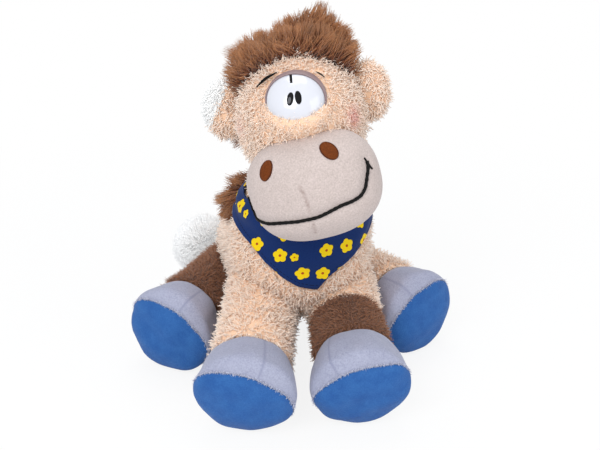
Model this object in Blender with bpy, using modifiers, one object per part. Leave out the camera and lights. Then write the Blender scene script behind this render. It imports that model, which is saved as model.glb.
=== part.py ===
"""Sitting plush horse: sewn fabric covers over separate stuffing, with limbs, head, ears and tail
that each bend at their own seam.

The horse faces -Y and sits on z = 0, with its origin at the middle of the flat patch under its rump.
"""
import math

import bmesh
import bpy
from mathutils import Matrix, Vector

MM = 0.001

# Fabric, seams and fits
PLUSH_WALL = 2.6 * MM
VELOUR_WALL = 2.0 * MM
COTTON_WALL = 1.2 * MM
SEAM_GAP = 0.3 * MM
STUFFING_EASE = 0.8 * MM
BEND_EASE = 0.6 * MM
FLOOR_CUT = 0.5 * MM
OVERRUN = 6.0 * MM
MERGE_DISTANCE = 0.01 * MM

# Torso, a pear leaning back on its rump
RUMP_RADIUS = 48.5 * MM
BELLY_SWELL = 1.5 * MM
CHEST_RADIUS = 49.0 * MM
TORSO_LENGTH = 100.0 * MM
TORSO_RISE = math.radians(26.0)
PELLET_BAG_RADII = (27.0 * MM, 30.0 * MM, 19.0 * MM)
PELLET_BAG_HEIGHT = 14.0 * MM

# Neck, leaning a little to one side and forward
NECK_RADIUS = 46.0 * MM
NECK_COVER_LENGTH = 60.0 * MM
NECK_STATION_SHARES = ((0.0, 1.04), (0.35, 1.03), (0.70, 0.93), (1.0, 0.74))
NECK_BALL_RADIUS = 28.0 * MM
HEAD_PIVOT = (6.0 * MM, -104.0 * MM, 160.0 * MM)

# Head, placed from its pivot in the top of the neck
HEAD_YAW = math.radians(-10.0)
HEAD_ROLL = math.radians(-8.0)
HEAD_NOD_UP = math.radians(12.0)
HEAD_NOD_DOWN = math.radians(12.0)
CRANIUM_CENTRE = (-1.0 * MM, -17.0 * MM, 43.0 * MM)
CRANIUM_RADII = (41.0 * MM, 50.0 * MM, 45.0 * MM)
MUZZLE_CENTRE = (3.0 * MM, -62.0 * MM, 11.0 * MM)
MUZZLE_ROLL = math.radians(-7.0)
MUZZLE_RADII = (43.5 * MM, 31.0 * MM, 36.0 * MM)

# Eye, a moulded dome on a stem, held by a washer behind the fabric
EYE_LIFT = math.radians(36.2)
EYE_TILT = math.radians(45.0)
EYE_RADIUS = 17.8 * MM
EYE_HEIGHT = 11.5 * MM
EYE_SINK = 2.0 * MM
EYE_STEM_RADIUS = 3.0 * MM
EYE_STEM_LENGTH = 17.0 * MM
WASHER_RADIUS = 9.0 * MM
WASHER_THICKNESS = 2.0 * MM
WASHER_DEPTH = 5.8 * MM
LID_WIDTH = 2.6 * MM
LID_HEIGHT = 1.2 * MM
LID_END_SHARE = 0.25

# Embroidered nostrils and mouth
NOSTRIL_RADII = (6.3 * MM, 4.5 * MM)
NOSTRIL_THICKNESS = 1.2 * MM
NOSTRIL_LIFT = math.radians(43.0)
NOSTRIL_SPREAD = math.radians(41.0)
NOSTRIL_SLANT = math.radians(28.0)
FACE_TURN = math.radians(-5.5)
MOUTH_RADIUS = 0.9 * MM
MOUTH_DROP = math.radians(-12.0)
MOUTH_CORNER_LIFT = math.radians(22.0)
MOUTH_SPREAD = math.radians(76.0)
MOUTH_CURVE_POWER = 2.4
MOUTH_STEPS = 18

# Hair over the crown and mane down the back of the neck
HAIR_CENTRE = (-1.0 * MM, 4.0 * MM, 60.0 * MM)
HAIR_RADII = (43.0 * MM, 38.0 * MM, 46.0 * MM)
MANE_CENTRE = (-24.0 * MM, -66.0 * MM, 114.0 * MM)
MANE_RADII = (35.0 * MM, 30.0 * MM, 36.0 * MM)

# Ears, each a front and a back panel
EAR_OFFSET = 48.5 * MM
EAR_SHIFT = -3.5 * MM
EAR_BACK = -8.0 * MM
EAR_HEIGHT = 51.0 * MM
EAR_RADII = (13.5 * MM, 8.5 * MM, 20.0 * MM)
EAR_SWING = math.radians(15.0)

# Bandana, a folded cotton square round the neck
BANDANA_TOP = 138.0 * MM
BANDANA_BAND_BOTTOM = 119.0 * MM
BANDANA_BACK_RISE = math.radians(5.0)
BANDANA_SIDE_REACH = 62.0 * MM
BANDANA_TIP_HEIGHT = 82.0 * MM
BANDANA_TIP_OFFSET = 5.0 * MM
BANDANA_HEM_SHARES = ((-0.80, 0.78), (-0.62, 0.52), (-0.40, 0.28), (-0.18, 0.10),
                      (0.20, 0.22), (0.42, 0.45), (0.68, 0.70))

# Legs: pivot spread and place, shaft, cuff and sole
FORE_PIVOT_X = 27.0 * MM
FORE_PIVOT_Y = -95.0 * MM
FORE_ROOT_RADIUS = 25.5 * MM
FORE_RIM_RADIUS = 36.0 * MM
FORE_RIM_DISTANCE = 103.0 * MM
FORE_CUFF_DISTANCE = 73.0 * MM
FORE_SOCK_DISTANCE = 38.0 * MM
FORE_DOME = 14.0 * MM
FORE_SLOPE = math.radians(15.0)
FORE_HEADINGS = {"left": math.radians(-16.0), "right": math.radians(-2.0)}
FORE_LIFT = math.radians(12.0)
HIND_PIVOT_X = 42.0 * MM
HIND_PIVOT_Y = -18.0 * MM
HIND_ROOT_RADIUS = 26.5 * MM
HIND_RIM_RADIUS = 34.5 * MM
HIND_RIM_DISTANCE = 95.0 * MM
HIND_CUFF_DISTANCE = 68.0 * MM
SEAM_TILT = math.radians(18.0)
SEAM_TWIST = math.radians(25.0)
SEAM_PAST_RIM = 1.0 * MM
HIND_DOME = 13.0 * MM
HIND_HEADINGS = {"left": math.radians(-35.0), "right": math.radians(28.0)}
HIND_SPLAY = math.radians(25.0)
# Each pair is a share of the way from pivot to cuff and a share of the root radius
SHAFT_SHARES = ((0.35, 0.965), (0.70, 0.975), (1.0, 1.05))
# The stuffing keeps further off the crown of a sole than off its sides
DOME_EASE_SHARE = 1.35
# Each pair is a share of the way from cuff to rim and a share of the growth in radius
CUFF_SHARES = ((0.45, 0.60), (0.85, 0.93))

# Tail, a brown root with a white tuft
TAIL_PIVOT = (-12.0 * MM, 55.0 * MM, 39.0 * MM)
TAIL_HEADING = math.radians(-62.0)
TAIL_RADIUS = 11.0 * MM
TAIL_LENGTH = 40.0 * MM
TAIL_SWING = math.radians(60.0)
TUFT_RADII = (20.0 * MM, 20.0 * MM, 24.0 * MM)
TUFT_DISTANCE = 54.0 * MM

# Facets
TORSO_SEGMENTS = 20
HEAD_SEGMENTS = 20
HEAD_ROWS = 10
EYE_SEGMENTS = 28
LIMB_SEGMENTS = 16
SMALL_SEGMENTS = 12
SMALL_ROWS = 8
ARC_STEPS = 4
SWEEP_STEPS = 3
QUARTER = math.pi / 2
FULL_TURN = 2 * math.pi

for old in list(bpy.data.objects):
    bpy.data.objects.remove(old, do_unlink=True)

parts = bpy.data.collections.new("plush_horse")
bpy.context.scene.collection.children.link(parts)
cutters = bpy.data.collections.new("cutters")
bpy.context.scene.collection.children.link(cutters)


def fabric(name, colour, roughness):
    """A Principled material for one kind of cloth, plastic or stuffing."""
    material = bpy.data.materials.new(name)
    material.use_nodes = True
    shader = material.node_tree.nodes["Principled BSDF"]
    shader.inputs["Base Color"].default_value = (*colour, 1.0)
    shader.inputs["Roughness"].default_value = roughness
    shader.inputs["Metallic"].default_value = 0.0
    material.diffuse_color = (*colour, 1.0)
    return material


# Colours are linear red, green and blue
TAN_PLUSH = (0.83, 0.59, 0.42)
BROWN_PLUSH = (0.15, 0.06, 0.03)
LONG_BROWN_FUR = (0.26, 0.10, 0.04)
WHITE_FUR = (0.85, 0.85, 0.86)
GREY_VELOUR = (0.69, 0.60, 0.58)
LILAC_VELOUR = (0.40, 0.40, 0.55)
BLUE_FLEECE = (0.04, 0.14, 0.46)
NAVY_COTTON = (0.01, 0.03, 0.19)
BROWN_THREAD = (0.25, 0.07, 0.02)
BLACK_THREAD = (0.015, 0.013, 0.012)
WHITE_PLASTIC = (0.81, 0.81, 0.89)
LID_PLASTIC = (0.21, 0.14, 0.15)
FIBRE_FILL = (0.88, 0.88, 0.86)
PELLET_CLOTH = (0.75, 0.74, 0.70)


def finish(obj, name, colour, roughness, parent):
    """Names an object, gives it its own material and hangs it on its joint's empty."""
    obj.name = name
    obj.data.name = name
    obj.data.materials.append(fabric(name, colour, roughness))
    if parent is not None:
        obj.parent = parent
    return obj


def link_mesh(mesh, name, place, collection):
    """Puts a mesh into the scene at a placement matrix."""
    obj = bpy.data.objects.new(name, mesh)
    collection.objects.link(obj)
    obj.matrix_local = place
    if collection is cutters:
        obj.hide_render = True
        obj.display_type = "WIRE"
    return obj


def joint_empty(name, place):
    """An empty on a joint's axis, which carries the pieces that turn there."""
    empty = bpy.data.objects.new(name, None)
    parts.objects.link(empty)
    empty.matrix_local = place
    return empty


def axis_frame(origin, direction, side):
    """A placement whose Z runs along direction and whose X leans towards side."""
    z_axis = Vector(direction).normalized()
    x_axis = (Vector(side) - z_axis * z_axis.dot(Vector(side))).normalized()
    y_axis = z_axis.cross(x_axis)
    turn = Matrix((x_axis, y_axis, z_axis)).transposed().to_4x4()
    return Matrix.Translation(Vector(origin)) @ turn


def turned(name, stations, place, segments, collection, wall=None):
    """A form turned about Z from rising (distance, radius) stations, solid or a shell."""
    mesh = bpy.data.meshes.new(name)
    points = [(radius, 0.0, distance) for distance, radius in reversed(stations)]
    links = [(index, index + 1) for index in range(len(points) - 1)]
    mesh.from_pydata(points, links, [])
    obj = link_mesh(mesh, name, place, collection)
    screw = obj.modifiers.new("turn", "SCREW")
    screw.axis = "Z"
    screw.angle = FULL_TURN
    screw.steps = segments
    screw.render_steps = segments
    screw.use_merge_vertices = True
    screw.merge_threshold = MERGE_DISTANCE
    screw.use_smooth_shade = True
    if wall is not None:
        shell = obj.modifiers.new("fabric", "SOLIDIFY")
        shell.thickness = wall
        shell.offset = -1.0
        shell.use_even_offset = True
    return obj


def ellipsoid(name, centre, radii, segments, rows, collection, turn=None):
    """A closed ellipsoid about a centre, turned if asked."""
    mesh = bpy.data.meshes.new(name)
    shape = bmesh.new()
    bmesh.ops.create_uvsphere(shape, u_segments=segments, v_segments=rows, radius=1.0)
    bmesh.ops.scale(shape, vec=Vector(radii), verts=shape.verts)
    shape.to_mesh(mesh)
    shape.free()
    mesh.shade_smooth()
    place = Matrix.Translation(Vector(centre)) @ (turn or Matrix.Identity(4))
    return link_mesh(mesh, name, place, collection)


def rod(name, radius, low, high, place, segments, collection):
    """A straight round rod along Z between two heights."""
    mesh = bpy.data.meshes.new(name)
    shape = bmesh.new()
    bmesh.ops.create_cone(shape, cap_ends=True, segments=segments, radius1=radius, radius2=radius,
                          depth=high - low)
    bmesh.ops.translate(shape, vec=Vector((0.0, 0.0, (high + low) / 2)), verts=shape.verts)
    shape.to_mesh(mesh)
    shape.free()
    mesh.shade_smooth()
    mesh.set_sharp_from_angle(angle=QUARTER / 2)
    return link_mesh(mesh, name, place, collection)


def block(name, low, high, collection, place=None):
    """A box between two corners."""
    mesh = bpy.data.meshes.new(name)
    shape = bmesh.new()
    bmesh.ops.create_cube(shape, size=1.0)
    size = Vector(high) - Vector(low)
    bmesh.ops.scale(shape, vec=size, verts=shape.verts)
    bmesh.ops.translate(shape, vec=(Vector(high) + Vector(low)) / 2, verts=shape.verts)
    shape.to_mesh(mesh)
    shape.free()
    return link_mesh(mesh, name, place or Matrix.Identity(4), collection)


def combine(obj, operation, *others):
    """Boolean modifiers on obj, one for each other object."""
    for other in others:
        modifier = obj.modifiers.new(operation.lower(), "BOOLEAN")
        modifier.operation = operation
        modifier.solver = "EXACT"
        modifier.object = other
    return obj


def grown(radii, ease):
    """Three radii, each larger by ease."""
    return tuple(radius + ease for radius in radii)


def ring_points(stations, place, segments):
    """World points on the rings of a turned form."""
    found = []
    for distance, radius in stations:
        for index in range(segments):
            angle = FULL_TURN * index / segments
            ring = Vector((radius * math.cos(angle), radius * math.sin(angle), distance))
            found.append(place @ ring)
    return found


def ellipsoid_points(radii, place, segments, rows):
    """World points on an ellipsoid."""
    stations = []
    for row in range(rows + 1):
        angle = math.pi * row / rows - QUARTER
        stations.append((math.sin(angle), math.cos(angle)))
    return ring_points(stations, place @ Matrix.Diagonal((*radii, 1.0)), segments)


def swept_hull(name, points, pivot, axis, start, end, parent=None):
    """The room that a form takes while it turns about an axis, as one convex cutter."""
    mesh = bpy.data.meshes.new(name)
    shape = bmesh.new()
    centre = Matrix.Translation(Vector(pivot))
    for step in range(SWEEP_STEPS):
        angle = start + (end - start) * step / (SWEEP_STEPS - 1)
        turn = centre @ Matrix.Rotation(angle, 4, Vector(axis)) @ centre.inverted()
        for point in points:
            shape.verts.new(turn @ point)
    hull = bmesh.ops.convex_hull(shape, input=shape.verts)
    spare = dict.fromkeys(hull["geom_interior"] + hull["geom_unused"])
    inside = [item for item in spare if isinstance(item, bmesh.types.BMVert)]
    bmesh.ops.delete(shape, geom=inside, context="VERTS")
    bmesh.ops.recalc_face_normals(shape, faces=shape.faces)
    shape.to_mesh(mesh)
    shape.free()
    cutter = link_mesh(mesh, name, Matrix.Identity(4), cutters)
    if parent is not None:
        cutter.parent = parent
        cutter.matrix_parent_inverse = parent.matrix_local.inverted()
    return cutter


def arc_stations(middle, along, radius, first, last, steps):
    """Stations on an elliptical end: its middle, height along the axis, radius and end angles."""
    found = []
    for step in range(steps + 1):
        angle = first + (last - first) * step / steps
        found.append((middle + along * math.sin(angle), max(0.0, radius * math.cos(angle))))
    return found


# The floor that flattens the rump and the soles
floor_reach = TORSO_LENGTH * 3
floor_cutter = block("floor_cutter", (-floor_reach, -floor_reach, -RUMP_RADIUS),
                     (floor_reach, floor_reach, 0.0), cutters)

# Torso placement: Z runs from the rump to the chest, X points at the floor
rump_centre = Vector((0.0, 0.0, RUMP_RADIUS - FLOOR_CUT))
torso_direction = Vector((0.0, -math.cos(TORSO_RISE), math.sin(TORSO_RISE)))
torso_place = axis_frame(rump_centre, torso_direction, (0.0, 0.0, -1.0))
chest_centre = rump_centre + torso_direction * TORSO_LENGTH
INNER_EASE = -(PLUSH_WALL + STUFFING_EASE)


def torso_stations(ease):
    """The pear's profile from rump to chest, grown by ease."""
    rump_radius = RUMP_RADIUS + ease
    rump = arc_stations(0.0, rump_radius, rump_radius, -QUARTER, -TORSO_RISE, ARC_STEPS - 1)
    rump += arc_stations(0.0, rump_radius, rump_radius, -TORSO_RISE, 0.0, ARC_STEPS - 2)[1:]
    middle = []
    for step in range(1, ARC_STEPS - 1):
        share = step / (ARC_STEPS - 1)
        straight = RUMP_RADIUS + (CHEST_RADIUS - RUMP_RADIUS) * share
        swell = BELLY_SWELL * math.sin(math.pi * share)
        middle.append((TORSO_LENGTH * share, straight + swell + ease))
    chest = arc_stations(TORSO_LENGTH, CHEST_RADIUS + ease, CHEST_RADIUS + ease, 0.0, QUARTER,
                         ARC_STEPS)
    return rump + middle + chest


def torso_form(name, ease, collection=cutters, segments=TORSO_SEGMENTS):
    """The torso's outer form, grown by ease."""
    return turned(name, torso_stations(ease), torso_place, segments, collection)


# Neck placement: Z runs from the middle of the chest to the head's pivot
head_pivot = Vector(HEAD_PIVOT)
neck_direction = (head_pivot - chest_centre).normalized()
neck_place = axis_frame(chest_centre, neck_direction, (1.0, 0.0, 0.0))


def neck_side(ease):
    """The neck's side from the middle of the chest to its open top, grown by ease."""
    return [(NECK_COVER_LENGTH * along, NECK_RADIUS * wide + ease)
            for along, wide in NECK_STATION_SHARES]


def neck_form(name, ease, collection=cutters, overrun=0.0):
    """The neck as a closed solid, its side grown by ease and its ends moved out by overrun."""
    side = neck_side(ease)
    low = side[0][0] - overrun
    high = side[-1][0] + overrun
    closed = [(low, 0.0), (low, side[0][1])] + side[1:-1] + [(high, side[-1][1]), (high, 0.0)]
    return turned(name, closed, neck_place, TORSO_SEGMENTS, collection)


# The room in neck and torso for the ball of stuffing that the head turns on: its flats clear the
# ball's corners at every turn
ball_rows = ARC_STEPS * 3
flat_share = math.cos(math.pi / TORSO_SEGMENTS) * math.cos(QUARTER / ball_rows)
ball_room_radius = (NECK_BALL_RADIUS + SEAM_GAP) / flat_share
ball_room = turned("ball_room", arc_stations(0.0, ball_room_radius, ball_room_radius, -QUARTER,
                                             QUARTER, ball_rows),
                   Matrix.Translation(head_pivot), TORSO_SEGMENTS, cutters)

# Head placement: its pivot, turned and leaning as it sits
head_place = (Matrix.Translation(head_pivot) @ Matrix.Rotation(HEAD_YAW, 4, "Z")
              @ Matrix.Rotation(HEAD_ROLL, 4, "Y"))
head_joint = joint_empty("head_joint", head_place)
nod_axis = (head_place.to_3x3() @ Vector((1.0, 0.0, 0.0))).normalized()


def on_head(obj):
    """Hangs a cutter on the head's empty."""
    obj.parent = head_joint
    return obj


def cranium_form(name, ease):
    """The cranium's outer form, grown by ease, as a cutter on the head."""
    return on_head(ellipsoid(name, CRANIUM_CENTRE, grown(CRANIUM_RADII, ease), HEAD_SEGMENTS,
                             HEAD_ROWS, cutters))


muzzle_turn = Matrix.Rotation(MUZZLE_ROLL, 4, "Y")
muzzle_place = Matrix.Translation(Vector(MUZZLE_CENTRE)) @ muzzle_turn


def muzzle_form(name, ease):
    """The muzzle's outer form, grown by ease, as a cutter on the head."""
    return on_head(ellipsoid(name, MUZZLE_CENTRE, grown(MUZZLE_RADII, ease), HEAD_SEGMENTS,
                             HEAD_ROWS, cutters, muzzle_turn))


def on_muzzle(across, up):
    """The point and the outward normal of the muzzle's surface at two angles, on the head."""
    level = math.cos(up)
    unit = (level * math.sin(across), -level * math.cos(across), math.sin(up))
    spot = muzzle_place @ Vector([a * b for a, b in zip(unit, MUZZLE_RADII)])
    normal = muzzle_turn.to_3x3() @ Vector([a / b for a, b in zip(unit, MUZZLE_RADII)])
    return spot, normal.normalized()


# Legs
def leg_stations(leg, ease):
    """The whole leg's profile from its root to the crown of its sole, grown by ease."""
    root = arc_stations(0.0, leg["root"] + ease, leg["root"] + ease, -QUARTER, 0.0, ARC_STEPS - 1)
    shaft = [(leg["cuff_at"] * along, leg["root"] * wide + ease) for along, wide in SHAFT_SHARES]
    cuff_length = leg["rim_at"] - leg["cuff_at"]
    growth = leg["rim"] - shaft[-1][1] + ease
    cuff = [(leg["cuff_at"] + cuff_length * along, shaft[-1][1] + growth * wide)
            for along, wide in CUFF_SHARES]
    crown = leg["dome"] + ease * DOME_EASE_SHARE
    sole = arc_stations(leg["rim_at"], crown, leg["rim"] + ease, 0.0, QUARTER, ARC_STEPS - 1)
    return {"root": root, "shaft": shaft, "cuff": cuff, "sole": sole}


def radius_at(stations, distance):
    """The radius of a profile at a distance along it."""
    for (near, near_radius), (far, far_radius) in zip(stations, stations[1:]):
        if near <= distance <= far:
            share = (distance - near) / (far - near)
            return near_radius + (far_radius - near_radius) * share
    return stations[-1][1]


def span(stations, first, last):
    """The part of a profile between two distances, with an end station at each."""
    inner = [station for station in stations if first < station[0] < last]
    return [(first, radius_at(stations, first))] + inner + [(last, radius_at(stations, last))]


def leg_place(leg, side):
    """The leg's placement: Z from pivot to sole, X towards the floor, pivot height worked out."""
    heading = leg["headings"][side]
    slope = leg["slope"]
    drops = [radius * math.cos(slope) + distance * math.sin(slope)
             for distance, radius in leg_stations(leg, 0.0)["sole"]]
    height = max(drops) - FLOOR_CUT
    sign = -1.0 if side == "left" else 1.0
    pivot = (sign * leg["pivot_x"], leg["pivot_y"], height)
    flat = math.cos(slope)
    direction = (math.sin(heading) * flat, -math.cos(heading) * flat, -math.sin(slope))
    return axis_frame(pivot, direction, (0.0, 0.0, -1.0))


def leg_axis(leg, side):
    """The hinge axis that lifts a foreleg or splays a hind leg for a positive turn."""
    if leg["moves"] == "lift":
        heading = leg["headings"][side]
        return Vector((-math.cos(heading), -math.sin(heading), 0.0))
    return Vector((0.0, 0.0, -1.0 if side == "left" else 1.0))


def build_leg(name, leg, side, cover_colour, sock_colour=None):
    """Cover, cuff, sole and stuffing of one leg, and the cutter for the room that it moves in."""
    place = leg_place(leg, side)
    joint = joint_empty(name + "_joint", place)
    outer = leg_stations(leg, 0.0)
    whole = outer["root"] + outer["shaft"] + outer["cuff"] + outer["sole"]
    still = Matrix.Identity(4)
    cover_end = leg["cuff_at"]
    if sock_colour is not None:
        cover_end = leg["sock_at"]
        sock_span = span(whole, cover_end + SEAM_GAP, leg["cuff_at"])
        sock = turned(name + "_sock", sock_span, still, LIMB_SEGMENTS, parts, PLUSH_WALL)
        finish(sock, name + "_sock", sock_colour, 0.95, joint)
    cover_span = outer["root"] + span(whole, 0.0, cover_end)[1:]
    cover = turned(name + "_cover", cover_span, still, LIMB_SEGMENTS, parts, PLUSH_WALL)
    finish(cover, name + "_cover", cover_colour, 0.95, joint)
    hoof_start = leg["cuff_at"] + SEAM_GAP
    hoof_span = [(hoof_start, radius_at(whole, hoof_start))] + outer["cuff"] + outer["sole"]
    inward = 1.0 if side == "left" else -1.0
    seam_up = Vector((-math.cos(SEAM_TWIST), inward * math.sin(SEAM_TWIST), 0.0))
    seam_normal = Vector((0.0, 0.0, math.cos(SEAM_TILT))) - seam_up * math.sin(SEAM_TILT)
    seam_place = axis_frame((0.0, 0.0, leg["rim_at"] + SEAM_PAST_RIM), seam_normal, seam_up)
    reach = leg["rim"] * 2
    for piece, colour, operation, start in (("_cuff", LILAC_VELOUR, "DIFFERENCE", 0.0),
                                            ("_sole", BLUE_FLEECE, "INTERSECT", SEAM_GAP)):
        hoof = turned(name + piece, hoof_span, still, LIMB_SEGMENTS, parts, PLUSH_WALL)
        finish(hoof, name + piece, colour, 0.9, joint)
        beyond = block(name + piece + "_seam", (-reach, -reach, start), (reach, reach, reach),
                       cutters, seam_place)
        beyond.parent = joint
        combine(hoof, operation, beyond)
        combine(hoof, "DIFFERENCE", floor_cutter)
    inner = leg_stations(leg, INNER_EASE)
    fill_stations = inner["root"] + inner["shaft"] + inner["cuff"] + inner["sole"]
    fill = turned(name + "_fill", fill_stations, still, LIMB_SEGMENTS, parts)
    finish(fill, name + "_fill", FIBRE_FILL, 1.0, joint)
    eased = leg_stations(leg, BEND_EASE)
    points = ring_points(eased["root"] + eased["shaft"], place, LIMB_SEGMENTS)
    return swept_hull(name + "_room", points, place.translation, leg_axis(leg, side), 0.0,
                      leg["range"])


FORELEG = {"pivot_x": FORE_PIVOT_X, "pivot_y": FORE_PIVOT_Y, "root": FORE_ROOT_RADIUS,
           "rim": FORE_RIM_RADIUS, "rim_at": FORE_RIM_DISTANCE, "cuff_at": FORE_CUFF_DISTANCE,
           "sock_at": FORE_SOCK_DISTANCE, "dome": FORE_DOME, "slope": FORE_SLOPE,
           "headings": FORE_HEADINGS, "range": FORE_LIFT, "moves": "lift"}
HINDLEG = {"pivot_x": HIND_PIVOT_X, "pivot_y": HIND_PIVOT_Y, "root": HIND_ROOT_RADIUS,
           "rim": HIND_RIM_RADIUS, "rim_at": HIND_RIM_DISTANCE, "cuff_at": HIND_CUFF_DISTANCE,
           "dome": HIND_DOME, "slope": 0.0, "headings": HIND_HEADINGS, "range": HIND_SPLAY,
           "moves": "splay"}

leg_rooms = []
for leg_name, leg_kind, leg_side, leg_colour, leg_sock in (
        ("foreleg_left", FORELEG, "left", TAN_PLUSH, None),
        ("foreleg_right", FORELEG, "right", TAN_PLUSH, BROWN_PLUSH),
        ("hindleg_left", HINDLEG, "left", BROWN_PLUSH, None),
        ("hindleg_right", HINDLEG, "right", TAN_PLUSH, None)):
    leg_rooms.append(build_leg(leg_name, leg_kind, leg_side, leg_colour, leg_sock))

# Tail: a round-ended root with a tuft over its end
tail_direction = Vector((math.sin(TAIL_HEADING), -math.cos(TAIL_HEADING), 0.0))
tail_place = axis_frame(TAIL_PIVOT, tail_direction, (0.0, 0.0, -1.0))
tail_joint = joint_empty("tail_joint", tail_place)


def tail_stations(ease):
    """The tail root's profile, grown by ease."""
    near = arc_stations(0.0, TAIL_RADIUS + ease, TAIL_RADIUS + ease, -QUARTER, 0.0, ARC_STEPS - 1)
    far = arc_stations(TAIL_LENGTH, TAIL_RADIUS + ease, TAIL_RADIUS + ease, 0.0, QUARTER,
                       ARC_STEPS - 1)
    return near + far


tail_root = turned("tail_root", tail_stations(0.0), Matrix.Identity(4), SMALL_SEGMENTS, parts)
finish(tail_root, "tail_root", LONG_BROWN_FUR, 1.0, tail_joint)
tail_room = swept_hull("tail_room", ring_points(tail_stations(BEND_EASE), tail_place,
                                                SMALL_SEGMENTS),
                       TAIL_PIVOT, (0.0, 0.0, -1.0), 0.0, TAIL_SWING)
tail_core = turned("tail_core", tail_stations(SEAM_GAP), Matrix.Identity(4), SMALL_SEGMENTS,
                   cutters)
tail_core.parent = tail_joint
tail_tuft = ellipsoid("tail_tuft", (0.0, 0.0, TUFT_DISTANCE), TUFT_RADII, SMALL_SEGMENTS,
                      SMALL_ROWS, parts)
finish(tail_tuft, "tail_tuft", WHITE_FUR, 1.0, tail_joint)
combine(tail_tuft, "DIFFERENCE", tail_core, torso_form("torso_for_tuft", SEAM_GAP))

# Torso cover, stuffing and pellet bag
torso_cover = torso_form("torso_cover", 0.0, parts)
torso_shell = torso_cover.modifiers.new("fabric", "SOLIDIFY")
torso_shell.thickness = PLUSH_WALL
torso_shell.offset = -1.0
torso_shell.use_even_offset = True
finish(torso_cover, "torso_cover", TAN_PLUSH, 0.95, None)
neck_opening = neck_form("neck_opening", INNER_EASE + SEAM_GAP, cutters, OVERRUN)
combine(torso_cover, "DIFFERENCE", *leg_rooms, tail_room, neck_opening, ball_room, floor_cutter)

bag_room = ellipsoid("bag_room", (0.0, 0.0, PELLET_BAG_HEIGHT), grown(PELLET_BAG_RADII, SEAM_GAP),
                     SMALL_SEGMENTS, SMALL_ROWS, cutters)
torso_fill = torso_form("torso_fill", INNER_EASE, parts, TORSO_SEGMENTS)
finish(torso_fill, "torso_fill", FIBRE_FILL, 1.0, None)
combine(torso_fill, "DIFFERENCE", *leg_rooms, tail_room, bag_room, ball_room)
pellet_bag = ellipsoid("seat_pellet_bag", (0.0, 0.0, PELLET_BAG_HEIGHT), PELLET_BAG_RADII,
                       SMALL_SEGMENTS, SMALL_ROWS, parts)
finish(pellet_bag, "seat_pellet_bag", PELLET_CLOTH, 0.9, None)
combine(pellet_bag, "INTERSECT", torso_form("torso_inside", INNER_EASE))
combine(pellet_bag, "DIFFERENCE", *leg_rooms)

# Neck cover, its stuffing and the ball of stuffing that the head turns on
neck_cover = turned("neck_cover", neck_side(0.0), neck_place, TORSO_SEGMENTS, parts, PLUSH_WALL)
finish(neck_cover, "neck_cover", TAN_PLUSH, 0.95, None)
torso_outside = torso_form("torso_outside", SEAM_GAP)
combine(neck_cover, "DIFFERENCE", torso_outside)
neck_fill = neck_form("neck_fill", INNER_EASE, parts)
finish(neck_fill, "neck_fill", FIBRE_FILL, 1.0, None)
combine(neck_fill, "DIFFERENCE", torso_form("torso_under_neck", INNER_EASE + SEAM_GAP), ball_room)
turn_joint = joint_empty("head_turn_joint", Matrix.Translation(head_pivot))
neck_ball = turned("neck_ball", arc_stations(0.0, NECK_BALL_RADIUS, NECK_BALL_RADIUS, -QUARTER,
                                             QUARTER, SMALL_ROWS),
                   Matrix.Identity(4), SMALL_SEGMENTS, parts)
finish(neck_ball, "neck_ball", FIBRE_FILL, 1.0, turn_joint)

# The neck's room in the head, for every nod
neck_points = ring_points(neck_side(BEND_EASE), neck_place, TORSO_SEGMENTS)
neck_room = swept_hull("neck_room", neck_points, head_pivot, nod_axis, -HEAD_NOD_DOWN,
                       HEAD_NOD_UP, head_joint)
head_ball_room = on_head(ellipsoid("head_ball_room", (0.0, 0.0, 0.0),
                                   grown((NECK_BALL_RADIUS,) * 3, BEND_EASE * 2), TORSO_SEGMENTS,
                                   HEAD_ROWS, cutters))

# Ears
ear_rooms = []
for ear_side, ear_sign, back_colour in (("left", -1.0, WHITE_FUR), ("right", 1.0, TAN_PLUSH)):
    ear_centre = Vector((ear_sign * EAR_OFFSET + EAR_SHIFT, EAR_BACK, EAR_HEIGHT))
    ear_root = ear_centre - Vector((ear_sign * (EAR_RADII[0] - PLUSH_WALL), 0.0, 0.0))
    ear_joint = joint_empty("ear_" + ear_side + "_joint", Matrix.Translation(ear_root))
    ear_joint.parent = head_joint
    from_root = ear_centre - ear_root
    reach = max(EAR_RADII) * 2
    for panel, front_sign, colour in (("front", -1.0, TAN_PLUSH), ("back", 1.0, back_colour)):
        name = "ear_" + ear_side + "_" + panel
        ear = ellipsoid(name, from_root, EAR_RADII, SMALL_SEGMENTS, SMALL_ROWS, parts)
        finish(ear, name, colour, 0.95, ear_joint)
        cut_low = -reach if front_sign > 0 else -SEAM_GAP / 2
        cut_high = SEAM_GAP / 2 if front_sign > 0 else reach
        half = block(name + "_half", (-reach, cut_low, -reach), (reach, cut_high, reach), cutters)
        half.parent = ear_joint
        combine(ear, "DIFFERENCE", half)
    ear_points = ellipsoid_points(grown(EAR_RADII, BEND_EASE), Matrix.Translation(ear_centre),
                                  SMALL_SEGMENTS, SMALL_ROWS)
    ear_room = swept_hull("ear_" + ear_side + "_room", ear_points, ear_root, (0.0, 0.0, 1.0),
                          -EAR_SWING, EAR_SWING)
    ear_rooms.append(on_head(ear_room))

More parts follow.
